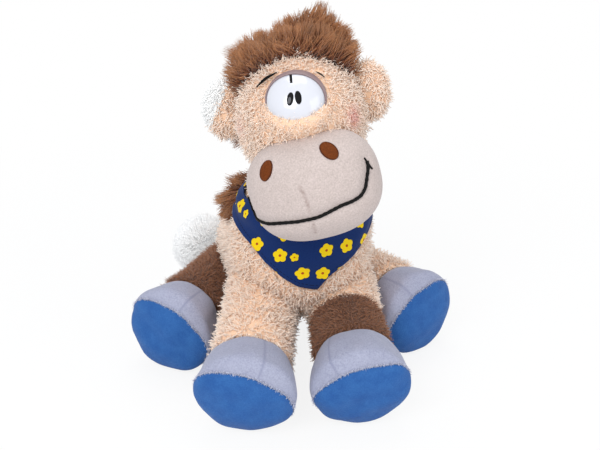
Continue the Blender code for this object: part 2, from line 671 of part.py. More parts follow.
# Eye: dome on a stem, washer behind the fabric and a lid round its upper edge
eye_spot = Vector(CRANIUM_CENTRE) + Vector((0.0, -CRANIUM_RADII[1] * math.cos(EYE_LIFT),
                                            CRANIUM_RADII[2] * math.sin(EYE_LIFT)))
eye_direction = Vector((0.0, -math.cos(EYE_TILT), math.sin(EYE_TILT)))
eye_place = axis_frame(eye_spot, eye_direction, (1.0, 0.0, 0.0))
cranium_outside = cranium_form("cranium_outside", SEAM_GAP)
eye_stem = on_head(rod("eye_stem", EYE_STEM_RADIUS, -EYE_STEM_LENGTH, EYE_SINK, eye_place,
                       SMALL_SEGMENTS, cutters))
eye_middle = eye_place @ Vector((0.0, 0.0, -EYE_SINK))
eye_turn = eye_place.to_3x3().to_4x4()
eye_dome = ellipsoid("eye_dome", eye_middle, (EYE_RADIUS, EYE_RADIUS, EYE_HEIGHT), EYE_SEGMENTS,
                     HEAD_ROWS, parts, eye_turn)
finish(eye_dome, "eye_dome", WHITE_PLASTIC, 0.12, head_joint)
combine(eye_dome, "DIFFERENCE", cranium_outside)
combine(eye_dome, "UNION", eye_stem)
stem_room = on_head(rod("stem_room", EYE_STEM_RADIUS + SEAM_GAP, -EYE_STEM_LENGTH - SEAM_GAP,
                        EYE_HEIGHT, eye_place, SMALL_SEGMENTS, cutters))
washer = rod("eye_washer", WASHER_RADIUS, -WASHER_DEPTH - WASHER_THICKNESS, -WASHER_DEPTH,
             eye_place, SMALL_SEGMENTS, parts)
finish(washer, "eye_washer", WHITE_PLASTIC, 0.4, head_joint)
combine(washer, "DIFFERENCE", stem_room)
washer_room = on_head(rod("washer_room", WASHER_RADIUS + SEAM_GAP,
                          -WASHER_DEPTH - WASHER_THICKNESS - SEAM_GAP, EYE_HEIGHT, eye_place,
                          SMALL_SEGMENTS, cutters))
lid_inner = EYE_RADIUS + SEAM_GAP
lid = on_head(rod("eye_lid", lid_inner + LID_WIDTH, -EYE_HEIGHT, LID_HEIGHT, eye_place,
                  EYE_SEGMENTS, parts))
finish(lid, "eye_lid", LID_PLASTIC, 0.6, head_joint)
lid_room = on_head(rod("lid_room", lid_inner, -EYE_HEIGHT * 2, EYE_HEIGHT, eye_place,
                       EYE_SEGMENTS, cutters))
lid_reach = EYE_RADIUS * 2
lid_half = on_head(block("lid_half", (-lid_reach, -lid_reach, -lid_reach),
                         (lid_reach, -EYE_RADIUS * LID_END_SHARE, lid_reach), cutters, eye_place))
combine(lid, "DIFFERENCE", lid_room, lid_half, cranium_outside)

# Head cover and muzzle cover, sewn together round the muzzle, over one stuffing
cranium_inside = cranium_form("cranium_inside", -PLUSH_WALL)
muzzle_outside = muzzle_form("muzzle_outside", SEAM_GAP)
head_cover = ellipsoid("head_cover", CRANIUM_CENTRE, CRANIUM_RADII, HEAD_SEGMENTS, HEAD_ROWS, parts)
finish(head_cover, "head_cover", TAN_PLUSH, 0.95, head_joint)
combine(head_cover, "DIFFERENCE", cranium_inside, muzzle_outside, neck_room, head_ball_room,
        *ear_rooms, stem_room)
muzzle_cover = ellipsoid("muzzle_cover", MUZZLE_CENTRE, MUZZLE_RADII, HEAD_SEGMENTS, HEAD_ROWS,
                         parts, muzzle_turn)
finish(muzzle_cover, "muzzle_cover", GREY_VELOUR, 0.85, head_joint)
combine(muzzle_cover, "DIFFERENCE", muzzle_form("muzzle_inside", -VELOUR_WALL), cranium_inside,
        neck_room, head_ball_room)
head_fill = ellipsoid("head_fill", CRANIUM_CENTRE, grown(CRANIUM_RADII, INNER_EASE),
                      HEAD_SEGMENTS, HEAD_ROWS, parts)
finish(head_fill, "head_fill", FIBRE_FILL, 1.0, head_joint)
combine(head_fill, "UNION", muzzle_form("muzzle_stuffing", -VELOUR_WALL - STUFFING_EASE))
combine(head_fill, "DIFFERENCE", neck_room, head_ball_room, washer_room, stem_room, *ear_rooms)

# Nostrils: satin-stitched ovals lying on the muzzle
nostril_skin = muzzle_form("nostril_skin", SEAM_GAP + NOSTRIL_THICKNESS)
for side, sign in (("left", -1.0), ("right", 1.0)):
    spot, normal = on_muzzle(sign * NOSTRIL_SPREAD + FACE_TURN, NOSTRIL_LIFT)
    slanted = Vector((-sign * math.sin(NOSTRIL_SLANT), 0.0, math.cos(NOSTRIL_SLANT)))
    place = axis_frame(spot, normal, slanted)
    stretch = Matrix.Diagonal((NOSTRIL_RADII[0] / NOSTRIL_RADII[1], 1.0, 1.0, 1.0))
    nostril = rod("nostril_" + side, NOSTRIL_RADII[1], -OVERRUN, OVERRUN, place, SMALL_SEGMENTS,
                  parts)
    nostril.data.transform(stretch)
    finish(nostril, "nostril_" + side, BROWN_THREAD, 0.6, head_joint)
    combine(nostril, "INTERSECT", nostril_skin)
    combine(nostril, "DIFFERENCE", muzzle_outside)

# Mouth: one corded line of stitching across the muzzle
mouth_lift = SEAM_GAP + MOUTH_RADIUS
mouth_curve = bpy.data.curves.new("mouth_stitch", "CURVE")
mouth_curve.dimensions = "3D"
mouth_curve.bevel_depth = MOUTH_RADIUS
mouth_curve.bevel_resolution = 1
mouth_curve.use_fill_caps = True
mouth_line = mouth_curve.splines.new("POLY")
mouth_line.points.add(MOUTH_STEPS)
for index, point in enumerate(mouth_line.points):
    share = 2 * index / MOUTH_STEPS - 1
    across = MOUTH_SPREAD * share
    up = MOUTH_DROP + MOUTH_CORNER_LIFT * abs(share) ** MOUTH_CURVE_POWER
    spot, normal = on_muzzle(across, up)
    point.co = (*(spot + normal * mouth_lift), 1.0)
mouth = bpy.data.objects.new("mouth_stitch", mouth_curve)
parts.objects.link(mouth)
finish(mouth, "mouth_stitch", BLACK_THREAD, 0.7, head_joint)

# Hair over the crown, cut to the head and clear of the ears
hair = ellipsoid("hair", HAIR_CENTRE, HAIR_RADII, HEAD_SEGMENTS, HEAD_ROWS, parts)
finish(hair, "hair", LONG_BROWN_FUR, 1.0, head_joint)
eye_room = on_head(ellipsoid("eye_room", eye_middle, grown((EYE_RADIUS, EYE_RADIUS, EYE_HEIGHT),
                                                           LID_WIDTH + SEAM_GAP * 2),
                             SMALL_SEGMENTS, SMALL_ROWS, cutters, eye_turn))
combine(hair, "DIFFERENCE", cranium_outside, eye_room, head_ball_room, neck_room, *ear_rooms)

# Bandana: the skin round neck and chest that lies inside its outline
bandana_ease = SEAM_GAP + COTTON_WALL
outline = [(-BANDANA_SIDE_REACH, BANDANA_TOP), (-BANDANA_SIDE_REACH, BANDANA_BAND_BOTTOM)]
drop = BANDANA_BAND_BOTTOM - BANDANA_TIP_HEIGHT
hem = [(BANDANA_SIDE_REACH * across, BANDANA_TIP_HEIGHT + drop * rise)
       for across, rise in BANDANA_HEM_SHARES]
left_hem = [point for point in hem if point[0] < BANDANA_TIP_OFFSET]
right_hem = [point for point in hem if point[0] > BANDANA_TIP_OFFSET]
outline += left_hem + [(BANDANA_TIP_OFFSET, BANDANA_TIP_HEIGHT)] + right_hem
outline += [(BANDANA_SIDE_REACH, BANDANA_BAND_BOTTOM), (BANDANA_SIDE_REACH, BANDANA_TOP)]
front_mesh = bpy.data.meshes.new("bandana_front")
front_shape = bmesh.new()
front_face = front_shape.faces.new([front_shape.verts.new((x, chest_centre.y, z))
                                    for x, z in outline])
front_push = bmesh.ops.extrude_face_region(front_shape, geom=[front_face])
pushed = [item for item in front_push["geom"] if isinstance(item, bmesh.types.BMVert)]
bmesh.ops.translate(front_shape, vec=Vector((0.0, -CHEST_RADIUS * 2, 0.0)), verts=pushed)
bmesh.ops.recalc_face_normals(front_shape, faces=front_shape.faces)
front_shape.to_mesh(front_mesh)
front_shape.free()
bandana_front = link_mesh(front_mesh, "bandana_front", Matrix.Identity(4), cutters)
band_place = (Matrix.Translation(Vector((0.0, chest_centre.y - OVERRUN, 0.0)))
              @ Matrix.Rotation(BANDANA_BACK_RISE, 4, "X"))
band_reach = BANDANA_SIDE_REACH + OVERRUN
band_back = block("bandana_back", (-band_reach, 0.0, BANDANA_BAND_BOTTOM),
                  (band_reach, NECK_RADIUS + OVERRUN * 2, BANDANA_TOP), cutters, band_place)
combine(bandana_front, "UNION", band_back)
bandana = torso_form("bandana", bandana_ease, parts)
finish(bandana, "bandana", NAVY_COTTON, 0.85, None)
combine(bandana, "UNION", neck_form("neck_bandana", bandana_ease))
combine(bandana, "INTERSECT", bandana_front)
combine(bandana, "DIFFERENCE", torso_outside, neck_form("neck_outside", SEAM_GAP, cutters, OVERRUN))

# Mane down the back of the neck, over the bandana's band
mane = ellipsoid("mane", MANE_CENTRE, MANE_RADII, SMALL_SEGMENTS, SMALL_ROWS, parts)
finish(mane, "mane", LONG_BROWN_FUR, 1.0, None)
over_band = bandana_ease + SEAM_GAP
combine(mane, "DIFFERENCE", neck_form("neck_under_mane", over_band, cutters, OVERRUN),
        torso_form("torso_under_mane", over_band))
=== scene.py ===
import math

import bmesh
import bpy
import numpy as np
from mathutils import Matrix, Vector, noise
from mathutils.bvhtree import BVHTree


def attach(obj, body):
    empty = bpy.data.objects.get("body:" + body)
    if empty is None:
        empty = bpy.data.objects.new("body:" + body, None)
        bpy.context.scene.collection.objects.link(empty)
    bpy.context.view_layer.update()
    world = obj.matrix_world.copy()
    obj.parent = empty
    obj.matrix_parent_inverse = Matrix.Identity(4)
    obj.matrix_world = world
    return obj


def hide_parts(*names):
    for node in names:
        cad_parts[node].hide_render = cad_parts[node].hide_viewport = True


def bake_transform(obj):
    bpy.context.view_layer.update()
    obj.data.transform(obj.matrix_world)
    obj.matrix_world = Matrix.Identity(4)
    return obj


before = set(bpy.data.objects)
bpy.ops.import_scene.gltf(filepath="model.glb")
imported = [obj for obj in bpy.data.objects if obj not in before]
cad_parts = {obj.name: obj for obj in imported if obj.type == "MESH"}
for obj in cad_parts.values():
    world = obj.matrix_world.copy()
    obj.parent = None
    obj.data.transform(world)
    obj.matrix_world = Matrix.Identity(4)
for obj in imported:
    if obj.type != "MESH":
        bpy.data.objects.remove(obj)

# %% [markdown]
# # A plush horse, sitting
# The toy is sewn from five kinds of cloth over loose stuffing: a curly tan pile, a short brown
# pile, long brushed fur, smooth velour and a printed cotton bandana. Pile can't be told from smooth
# cloth by colour alone, so each pile here is real geometry: a smooth skin that has the stuffed
# form, and thousands of small strands that grow from it. The loaded frame gives the places of every
# piece. Lengths are written in millimetres and turned to Blender's metres by MM, and FAR stands for
# a length that is out of reach.

MM = 0.001
FAR = 99.0
scene = bpy.context.scene
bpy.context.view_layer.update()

# %% [markdown]
# ## Camera
# The camera comes first, because a few small pieces, such as the mouth and the pupils, are placed
# through a point of the picture and then land on the piece that carries them. A short telephoto
# lens 85 cm away, 25 degrees up and 10 degrees round to the toy's right gives the picture's
# perspective.

# %% Camera
IMAGE_SIZE = (600, 450)
LENS = 72.9
SENSOR = 36.0
AIM = Vector((-4.2, -116.0, 120.0)) * MM
CAMERA_TURN = math.radians(-10.0)
CAMERA_RISE = math.radians(25.0)
CAMERA_REACH = 850.0 * MM

away = Vector((math.sin(CAMERA_TURN) * math.cos(CAMERA_RISE),
               -math.cos(CAMERA_TURN) * math.cos(CAMERA_RISE), math.sin(CAMERA_RISE)))
camera_data = bpy.data.cameras.new("camera")
camera_data.lens = LENS
camera_data.sensor_width = SENSOR
camera = bpy.data.objects.new("camera", camera_data)
camera.location = AIM + away * CAMERA_REACH
camera.rotation_euler = away.to_track_quat("Z", "Y").to_euler()
scene.collection.objects.link(camera)
scene.camera = camera
print("camera at", [round(value, 3) for value in camera.location])


def picture_ray(across, down):
    """The direction from the camera through a point of the picture, in pixels."""
    scale = SENSOR / LENS / IMAGE_SIZE[0]
    flat = Vector(((across - IMAGE_SIZE[0] / 2) * scale, (IMAGE_SIZE[1] / 2 - down) * scale, -1.0))
    return (away.to_track_quat("Z", "Y") @ flat).normalized()


# %% [markdown]
# ## Helpers for forms
# Every stuffed form here is a body of revolution, an ellipsoid or a union of these, so a few small
# helpers make, cut and measure them all. Their sizes are in millimetres, as the frame's solids are.

# %% Helpers for forms
def at(spot):
    """A placement at a spot, in millimetres."""
    return Matrix.Translation(Vector(spot) * MM)


def turn_about(spot, angle, axis):
    """A turn by an angle about an axis through a spot."""
    return at(spot) @ Matrix.Rotation(angle, 4, axis) @ at(spot).inverted()


def axis_frame(origin, direction, side):
    """A placement whose Z runs along direction and whose X leans towards side, in millimetres."""
    z_axis = Vector(direction).normalized()
    x_axis = (Vector(side) - z_axis * z_axis.dot(Vector(side))).normalized()
    turn = Matrix((x_axis, z_axis.cross(x_axis), z_axis)).transposed().to_4x4()
    return at(origin) @ turn


def spun(profile, place, steps=48):
    """A closed form: a profile of (height, radius) in millimetres, spun about Z, then placed."""
    shape = bmesh.new()
    line = [shape.verts.new((max(radius, 0.0) * MM, 0.0, height * MM))
            for height, radius in profile]
    edges = [shape.edges.new(pair) for pair in zip(line, line[1:])]
    bmesh.ops.spin(shape, geom=line + edges, axis=(0, 0, 1), cent=(0, 0, 0), angle=2 * math.pi,
                   steps=steps, use_merge=True)
    bmesh.ops.remove_doubles(shape, verts=shape.verts, dist=0.01 * MM)
    bmesh.ops.recalc_face_normals(shape, faces=shape.faces)
    bmesh.ops.transform(shape, matrix=place, verts=shape.verts)
    return shape


def ball(radii, place, detail=5):
    """An ellipsoid of even triangles, radii in millimetres, placed."""
    shape = bmesh.new()
    bmesh.ops.create_icosphere(shape, subdivisions=detail, radius=1.0)
    bmesh.ops.scale(shape, vec=Vector(radii) * MM, verts=shape.verts)
    bmesh.ops.transform(shape, matrix=place, verts=shape.verts)
    return shape


def new_object(name, data):
    """A new object with its data, in the scene."""
    obj = bpy.data.objects.new(name, data)
    scene.collection.objects.link(obj)
    return obj


def to_object(name, *shapes):
    """One object from one or more bmeshes, at the origin."""
    mesh = bpy.data.meshes.new(name)
    whole = bmesh.new()
    for shape in shapes:
        part_mesh = bpy.data.meshes.new("part")
        shape.to_mesh(part_mesh)
        whole.from_mesh(part_mesh)
        bpy.data.meshes.remove(part_mesh)
        shape.free()
    whole.to_mesh(mesh)
    whole.free()
    mesh.shade_smooth()
    return new_object(name, mesh)


# %% [markdown]
# ## Joining and parting forms
# A sewn cover has no sharp crease where two forms meet, because one cloth runs over both. A voxel
# remesh makes one even skin of overlapping forms, with small faces that can bend, and a few steps
# of smoothing ease the crease. A boolean takes the room of one piece out of another, and a plane
# parts a form where a seam runs.

# %% Joining and parting forms
def apply_modifiers(obj):
    """Turns an object's modifiers into plain mesh."""
    graph = bpy.context.evaluated_depsgraph_get()
    mesh = bpy.data.meshes.new_from_object(obj.evaluated_get(graph), depsgraph=graph)
    obj.modifiers.clear()
    old = obj.data
    obj.data = mesh
    mesh.name = obj.name
    bpy.data.meshes.remove(old)


def resurface(obj, voxel, easing):
    """Makes one even skin of overlapping forms, and eases its creases."""
    remesh = obj.modifiers.new("voxels", "REMESH")
    remesh.mode = "VOXEL"
    remesh.voxel_size = voxel * MM
    remesh.use_smooth_shade = True
    ease = obj.modifiers.new("ease", "SMOOTH")
    ease.factor = 0.5
    ease.iterations = easing
    apply_modifiers(obj)


def cut(obj, *others):
    """Cuts other objects out of one, and removes them."""
    for other in others:
        boolean = obj.modifiers.new("cut", "BOOLEAN")
        boolean.operation = "DIFFERENCE"
        boolean.solver = "EXACT"
        boolean.object = other
    apply_modifiers(obj)
    for other in others:
        bpy.data.objects.remove(other, do_unlink=True)


def whole_of(shape):
    """Everything in a bmesh, as its cutting operator takes it."""
    return shape.verts[:] + shape.edges[:] + shape.faces[:]


def halve(shape, spot, way, keep_below):
    """Cuts a closed form by a plane, keeps one side of it and closes the cut."""
    bmesh.ops.bisect_plane(shape, geom=whole_of(shape), plane_co=spot, plane_no=way,
                           clear_outer=keep_below, clear_inner=not keep_below)
    bmesh.ops.holes_fill(shape, edges=[e for e in shape.edges if e.is_boundary], sides=0)
    bmesh.ops.triangulate(shape, faces=[f for f in shape.faces if len(f.verts) > 4])


# %% [markdown]
# ## Many vertices at once
# A skin has thousands of vertices, and a loop over them would be slow. These helpers read their
# places and normals as numpy arrays and write them back in one step. Two more find what lies near:
# a search tree does it for a surface, and a table of distances for a handful of points.

# %% Places, normals and distances
def places_of(obj):
    """An object's vertex places as an array."""
    points = np.empty(len(obj.data.vertices) * 3)
    obj.data.vertices.foreach_get("co", points)
    return points.reshape(-1, 3)


def set_places(obj, points):
    """Writes vertex places back."""
    obj.data.vertices.foreach_set("co", np.ascontiguousarray(points).ravel())
    obj.data.update()


def normals_of(obj):
    """An object's vertex normals as an array."""
    normals = np.empty(len(obj.data.vertices) * 3)
    obj.data.vertex_normals.foreach_get("vector", normals)
    return normals.reshape(-1, 3)


def in_frame(place, points):
    """World points in the frame of a placement, in millimetres."""
    back = np.array(place.inverted())
    return (points @ back[:3, :3].T + back[:3, 3]) / MM


def set_attribute(obj, name, values):
    """Stores one number for each vertex, for a material to read."""
    layer = obj.data.attributes.new(name, "FLOAT", "POINT")
    layer.data.foreach_set("value", np.ascontiguousarray(values, dtype=np.float32))


def tree_of(obj):
    """A search tree of an object's faces."""
    return BVHTree.FromPolygons([v.co for v in obj.data.vertices],
                                [p.vertices[:] for p in obj.data.polygons])


def area_of(obj):
    """A skin's area in square millimetres."""
    return sum(face.area for face in obj.data.polygons) / MM ** 2


def outside(tree, place):
    """How far a place lies outside a surface, in millimetres, and less than 0 within it."""
    spot, normal, face, reach = tree.find_nearest(place)
    return math.copysign(reach, (place - spot).dot(normal)) / MM


def nearest(points, targets, block=2000):
    """The nearest target of each point, and how far it is."""
    chosen, gaps = np.empty(len(points), dtype=np.int64), np.empty(len(points))
    for first in range(0, len(points), block):
        part = slice(first, first + block)
        squares = ((points[part, None, :] - targets[None, :, :]) ** 2).sum(axis=2)
        chosen[part] = squares.argmin(axis=1)
        gaps[part] = np.sqrt(squares.min(axis=1))
    return chosen, gaps


# %% [markdown]
# ## Helper for stuffing
# Real stuffing presses the cloth out between its seams. The cloth solver does the same: the seams
# are pinned, the air pressure inside swells each panel, and a cap keeps the swelling to what dense
# fibre gives. The skin starts a little small, so it ends at its true size.

# %% Stuffing by cloth simulation
SOLVER_FRAMES = 16
AIR_PRESSURE = 4.0
MOST_SWELL = 1.6


def stuff(obj, held):
    """Swells a skin by air pressure, with the vertices of the mask held pinned."""
    start = places_of(obj).copy()
    pins = obj.vertex_groups.new(name="seams")
    pins.add([int(index) for index in np.flatnonzero(held)], 1.0, "REPLACE")
    cloth = obj.modifiers.new("stuffing", "CLOTH")
    cloth.settings.vertex_group_mass = "seams"
    cloth.settings.use_pressure = True
    cloth.settings.uniform_pressure_force = AIR_PRESSURE
    cloth.settings.effector_weights.gravity = 0.0
    cloth.settings.quality = 5
    cloth.settings.tension_stiffness = 12.0
    cloth.settings.bending_stiffness = 0.3
    cloth.collision_settings.use_collision = False
    cloth.point_cache.frame_start = 1
    cloth.point_cache.frame_end = SOLVER_FRAMES
    for step in range(1, SOLVER_FRAMES + 1):
        scene.frame_set(step)
    graph = bpy.context.evaluated_depsgraph_get()
    solved = obj.evaluated_get(graph).to_mesh()
    end = np.empty(len(solved.vertices) * 3)
    solved.vertices.foreach_get("co", end)
    move = end.reshape(-1, 3) - start
    reach = np.linalg.norm(move, axis=1, keepdims=True)
    move *= np.minimum(1.0, MOST_SWELL * MM / np.maximum(reach, 1e-9))
    obj.evaluated_get(graph).to_mesh_clear()
    obj.modifiers.clear()
    obj.vertex_groups.clear()
    scene.frame_set(1)
    set_places(obj, start + move)
    most = float(np.linalg.norm(move, axis=1).max()) / MM
    print(obj.name, "swelled by up to", round(most, 2), "mm")


# %% [markdown]
# ## One strand
# A fibre of pile is round and tapers to its tip. A three-sided spike with a few rings looks the
# same from a step away, has few faces and can bend. Roots are scattered evenly by area, so that the
# pile is as dense on a small face of the skin as on a large one.

# %% One strand and its roots
FLOOR_GAP = 0.2
DENSITY = 1.0


def strand_stamp(rings, point):
    """The places and triangles of a spike of radius 1 and height 1, standing on the origin."""
    shape = bmesh.new()
    bmesh.ops.create_cone(shape, cap_ends=True, segments=3, radius1=1.0, radius2=point, depth=1.0)
    bmesh.ops.translate(shape, vec=(0, 0, 0.5), verts=shape.verts)
    for ring in range(1, rings):
        bmesh.ops.bisect_plane(shape, geom=whole_of(shape), plane_co=(0, 0, ring / rings),
                               plane_no=(0, 0, 1))
    bmesh.ops.triangulate(shape, faces=shape.faces)
    bmesh.ops.recalc_face_normals(shape, faces=shape.faces)
    shape.verts.ensure_lookup_table()
    places = np.array([v.co[:] for v in shape.verts])
    corners = np.array([[v.index for v in f.verts] for f in shape.faces])
    shape.free()
    return places, corners


def unit(vectors):
    """Rows made one unit long."""
    return vectors / np.maximum(np.linalg.norm(vectors, axis=1, keepdims=True), 1e-12)


def scatter(skin, count, generator):
    """Points and normals spread evenly by area over a skin."""
    mesh = skin.data
    mesh.calc_loop_triangles()
    corners = np.empty(len(mesh.loop_triangles) * 3, dtype=np.int32)
    mesh.loop_triangles.foreach_get("vertices", corners)
    corners = corners.reshape(-1, 3)
    points = places_of(skin)
    normals = normals_of(skin)
    sides = np.cross(points[corners[:, 1]] - points[corners[:, 0]],
                     points[corners[:, 2]] - points[corners[:, 0]])
    reach = np.cumsum(np.linalg.norm(sides, axis=1))
    marks = (np.arange(count) + generator.random(count)) / count * reach[-1]
    chosen = corners[np.minimum(np.searchsorted(reach, marks), len(corners) - 1)]
    first, second = generator.random(count), generator.random(count)
    flip = first + second > 1
    first[flip], second[flip] = 1 - first[flip], 1 - second[flip]
    weights = np.stack([1 - first - second, first, second], axis=1)
    spots = np.einsum("nk,nkc->nc", weights, points[chosen])
    return spots, unit(np.einsum("nk,nkc->nc", weights, normals[chosen]))


# %% [markdown]
# ## Pile
# The export takes meshes, so each strand is plain mesh and not Blender's own hair. The helper
# stamps the spike at each root with its own length, lean, bend and curl. Strands of long fur
# stick together in locks, so each leans towards the nearest lock's guide. Two numbers are stored
# on every vertex, how far along the strand it is and which strand it belongs to, and the
# materials colour root, tip and strand by them.

# %% Pile grown from a skin
def strand_lines(skin, count, generator, along, length, keep=None, comb=None, lean=0.3, bend=0.4,
                 curl=0.0, turns=1.0, spread=0.25, sink=0.6, more=None, rise=0.15, vary=0.3):
    """Middle lines of strands grown from a skin, and two directions across each of them."""
    roots, normals = scatter(skin, count, generator)
    if keep is not None:
        stays = generator.random(len(roots)) < keep(roots, normals)
        roots, normals = roots[stays], normals[stays]
    total = len(roots)
    way = np.tile((0.0, 0.0, -1.0), (total, 1)) if comb is None else comb(roots, normals)
    wander = unit(generator.normal(size=(total, 3)))
    start = unit(normals * (1 - lean) + way * lean + wander * spread)
    outward = np.einsum("nc,nc->n", start, normals)[:, None]
    start = unit(start + normals * np.maximum(0.0, rise - outward))
    tangent = unit(np.cross(start, wander))
    other = np.cross(start, tangent)
    sizes = length * MM * (1 - vary + 2 * vary * generator.random(total))
    if more is not None:
        sizes *= more(roots, normals)
    pull = unit(way * 0.6 + wander * 0.8)
    size = sizes[:, None, None]
    t = along[None, :, None]
    line = (roots - normals * (sink * MM))[:, None, :] + start[:, None, :] * size * t
    line = line + pull[:, None, :] * size * bend * t ** 2
    angle = generator.random(total)[:, None, None] * 2 * math.pi + 2 * math.pi * turns * t
    wave = np.cos(angle) * tangent[:, None, :] + np.sin(angle) * other[:, None, :]
    return roots, line + wave * size * curl * t, tangent, other


def pile(name, skin, count, length, width, seed, clump=0.0, locks=0, lock_seed=None, rings=4,
         point=0.12, **style):
    """A piece of pile: strands of a length and root width, in millimetres, grown from a skin.

    Each leans towards the guide strand of its lock by the share clump. keep tells where strands
    grow, comb the way that they lie, and lean how far they follow it."""
    generator = np.random.default_rng(seed)
    places, corners = strand_stamp(rings, point)
    along = places[:, 2]
    roots, line, tangent, other = strand_lines(skin, count, generator, along, length, **style)
    total = len(roots)
    shade = generator.random(total)
    if locks:
        chooser = np.random.default_rng(seed if lock_seed is None else lock_seed)
        guides, guide_lines, side, up = strand_lines(skin, locks, chooser, along, length, **style)
        own, gaps = nearest(roots, guides)
        hold = clump * (0.7 + 0.3 * generator.random(total))[:, None, None]
        line = line + (guide_lines[own] - line) * hold * (along ** 1.2)[None, :, None]
        shade = chooser.random(len(guides))[own] * 0.65 + shade * 0.35
    thick = (width * MM / 2) * (0.75 + 0.5 * generator.random(total))
    around = places[:, :2] * thick[:, None, None]
    points = line + around[:, :, :1] * tangent[:, None, :] + around[:, :, 1:] * other[:, None, :]
    points[:, :, 2] = np.maximum(points[:, :, 2], FLOOR_GAP * MM)
    faces = (corners[None, :, :] + (np.arange(total) * len(places))[:, None, None]).reshape(-1, 3)
    mesh = bpy.data.meshes.new(name)
    mesh.vertices.add(total * len(places))
    mesh.vertices.foreach_set("co", points.ravel())
    mesh.loops.add(len(faces) * 3)
    mesh.loops.foreach_set("vertex_index", faces.ravel().astype(np.int32))
    mesh.polygons.add(len(faces))
    mesh.polygons.foreach_set("loop_start", np.arange(len(faces), dtype=np.int32) * 3)
    mesh.update(calc_edges=True)
    mesh.shade_smooth()
    obj = new_object(name, mesh)
    set_attribute(obj, "tip", np.tile(along, total))
    set_attribute(obj, "strand", np.repeat(shade, len(places)))
    print(name, "has", total, "strands and", len(faces), "triangles")
    return obj


# %% [markdown]
# ## Helpers for materials
# Colours are written as they look on a screen, and one function turns them to linear light. Another
# adds a node with its settings and links, so that each finish reads as a short list.

# %% Helpers for materials
def colour(code):
    """An sRGB hex colour as linear red, green, blue and alpha."""
    steps = [int(code[index:index + 2], 16) / 255 for index in (1, 3, 5)]
    return (*[step / 12.92 if step <= 0.04045 else ((step + 0.055) / 1.055) ** 2.4
              for step in steps], 1.0)


def fill(node, inputs):
    """Sets a node's inputs, or links them where the value is another node's output."""
    for name, value in inputs.items():
        if isinstance(value, bpy.types.NodeSocket):
            node.id_data.links.new(value, node.inputs[name])
        else:
            node.inputs[name].default_value = value


def add(tree, kind, inputs, **settings):
    """Adds a node, sets its properties, and fills or links its inputs."""
    made = tree.nodes.new(kind)
    for name, value in settings.items():
        setattr(made, name, value)
    fill(made, inputs)
    return made


def new_material(name):
    """An empty Principled material, with its tree and shader."""
    material = bpy.data.materials.new(name)
    material.use_nodes = True
    tree = material.node_tree
    return material, tree, tree.nodes["Principled BSDF"]


# %% [markdown]
# ## Pile
# Acrylic plush is a knitted backing with cut or curled fibre. Each strand is a little darker at its
# root, where less light reaches, and no two strands took the dye quite alike. The fibre scatters
# light at its edges, which the shader's sheen gives. Light also wanders from strand to strand in
# white fur, and a small glow stands for it. The skin below has the root's colour.

# %% Pile finishes
def pile_material(name, root, middle, tip, uneven=0.12, patch=None, patch_name=None, mottle=9.0,
                  sheen=0.2, glow=0.0):
    """Dyed acrylic fibre, coloured along each strand, with an optional second dye by attribute."""
    material, tree, shader = new_material(name)
    fill(shader, {"Roughness": 0.85, "Specular IOR Level": 0.15, "Sheen Weight": sheen,
                  "Sheen Roughness": 0.6, "Emission Color": colour(tip),
                  "Emission Strength": glow})
    along = add(tree, "ShaderNodeAttribute", {}, attribute_name="tip")
    strand = add(tree, "ShaderNodeAttribute", {}, attribute_name="strand")
    ramp = add(tree, "ShaderNodeValToRGB", {"Fac": along.outputs["Fac"]})
    ramp.color_ramp.elements[0].color = colour(root)
    ramp.color_ramp.elements[1].color = colour(tip)
    ramp.color_ramp.elements.new(0.45).color = colour(middle)
    space = add(tree, "ShaderNodeTexCoord", {})
    cloud = add(tree, "ShaderNodeTexNoise", {"Vector": space.outputs["Object"],
                                             "Scale": 1000.0 / mottle, "Detail": 2.0})
    both = add(tree, "ShaderNodeMath", {0: strand.outputs["Fac"], 1: cloud.outputs["Fac"]},
               operation="ADD")
    level = add(tree, "ShaderNodeMapRange", {"Value": both.outputs[0], "From Min": 0.2,
                                             "From Max": 1.8, "To Min": 1 - uneven,
                                             "To Max": 1 + uneven})
    dyed = ramp.outputs["Color"]
    if patch is not None:
        where = add(tree, "ShaderNodeAttribute", {}, attribute_name=patch_name)
        second = add(tree, "ShaderNodeMix", {"Factor": where.outputs["Fac"], "A": dyed,
                                             "B": colour(patch)}, data_type="RGBA")
        dyed = second.outputs["Result"]
    toned = add(tree, "ShaderNodeHueSaturation", {"Color": dyed, "Value": level.outputs["Result"]})
    fill(shader, {"Base Color": toned.outputs["Color"]})
    return material


tan_pile = pile_material("tan_curly_acrylic_pile", "#FFD9BA", "#FFE3CC", "#FFEDDF", 0.06,
                         "#F9A7A3", "blush")
tan_backing = pile_material("tan_knitted_backing", "#F6D0B0", "#F6D0B0", "#F6D0B0", 0.06)
brown_pile = pile_material("brown_short_acrylic_pile", "#63402A", "#8A5A3F", "#9C6B4C", 0.17)
brown_backing = pile_material("brown_knitted_backing", "#65412C", "#65412C", "#65412C", 0.08)
hair_pile = pile_material("brown_long_brushed_pile", "#422614", "#80492A", "#B47C50", 0.3,
                          mottle=14.0)
white_pile = pile_material("white_long_brushed_pile", "#F4F4F3", "#FAFAFA", "#FFFFFF", 0.02,
                           sheen=0.3, glow=0.09)
white_ear_pile = pile_material("white_short_pile", "#F0EFEE", "#F6F5F4", "#FAFAF9", 0.03,
                               glow=0.08)
print(len(bpy.data.materials), "materials so far")

# %% [markdown]
# ## Velour and fleece
# Velour is a fine, close nap, smooth from a step away, that scatters a soft light at grazing
# angles. Fleece is a little rougher. Both have a grain far finer than a millimetre, drawn here at
# about 1 mm so that it shows, and slow clouds where the nap was brushed one way or the other,
# strong on fleece.

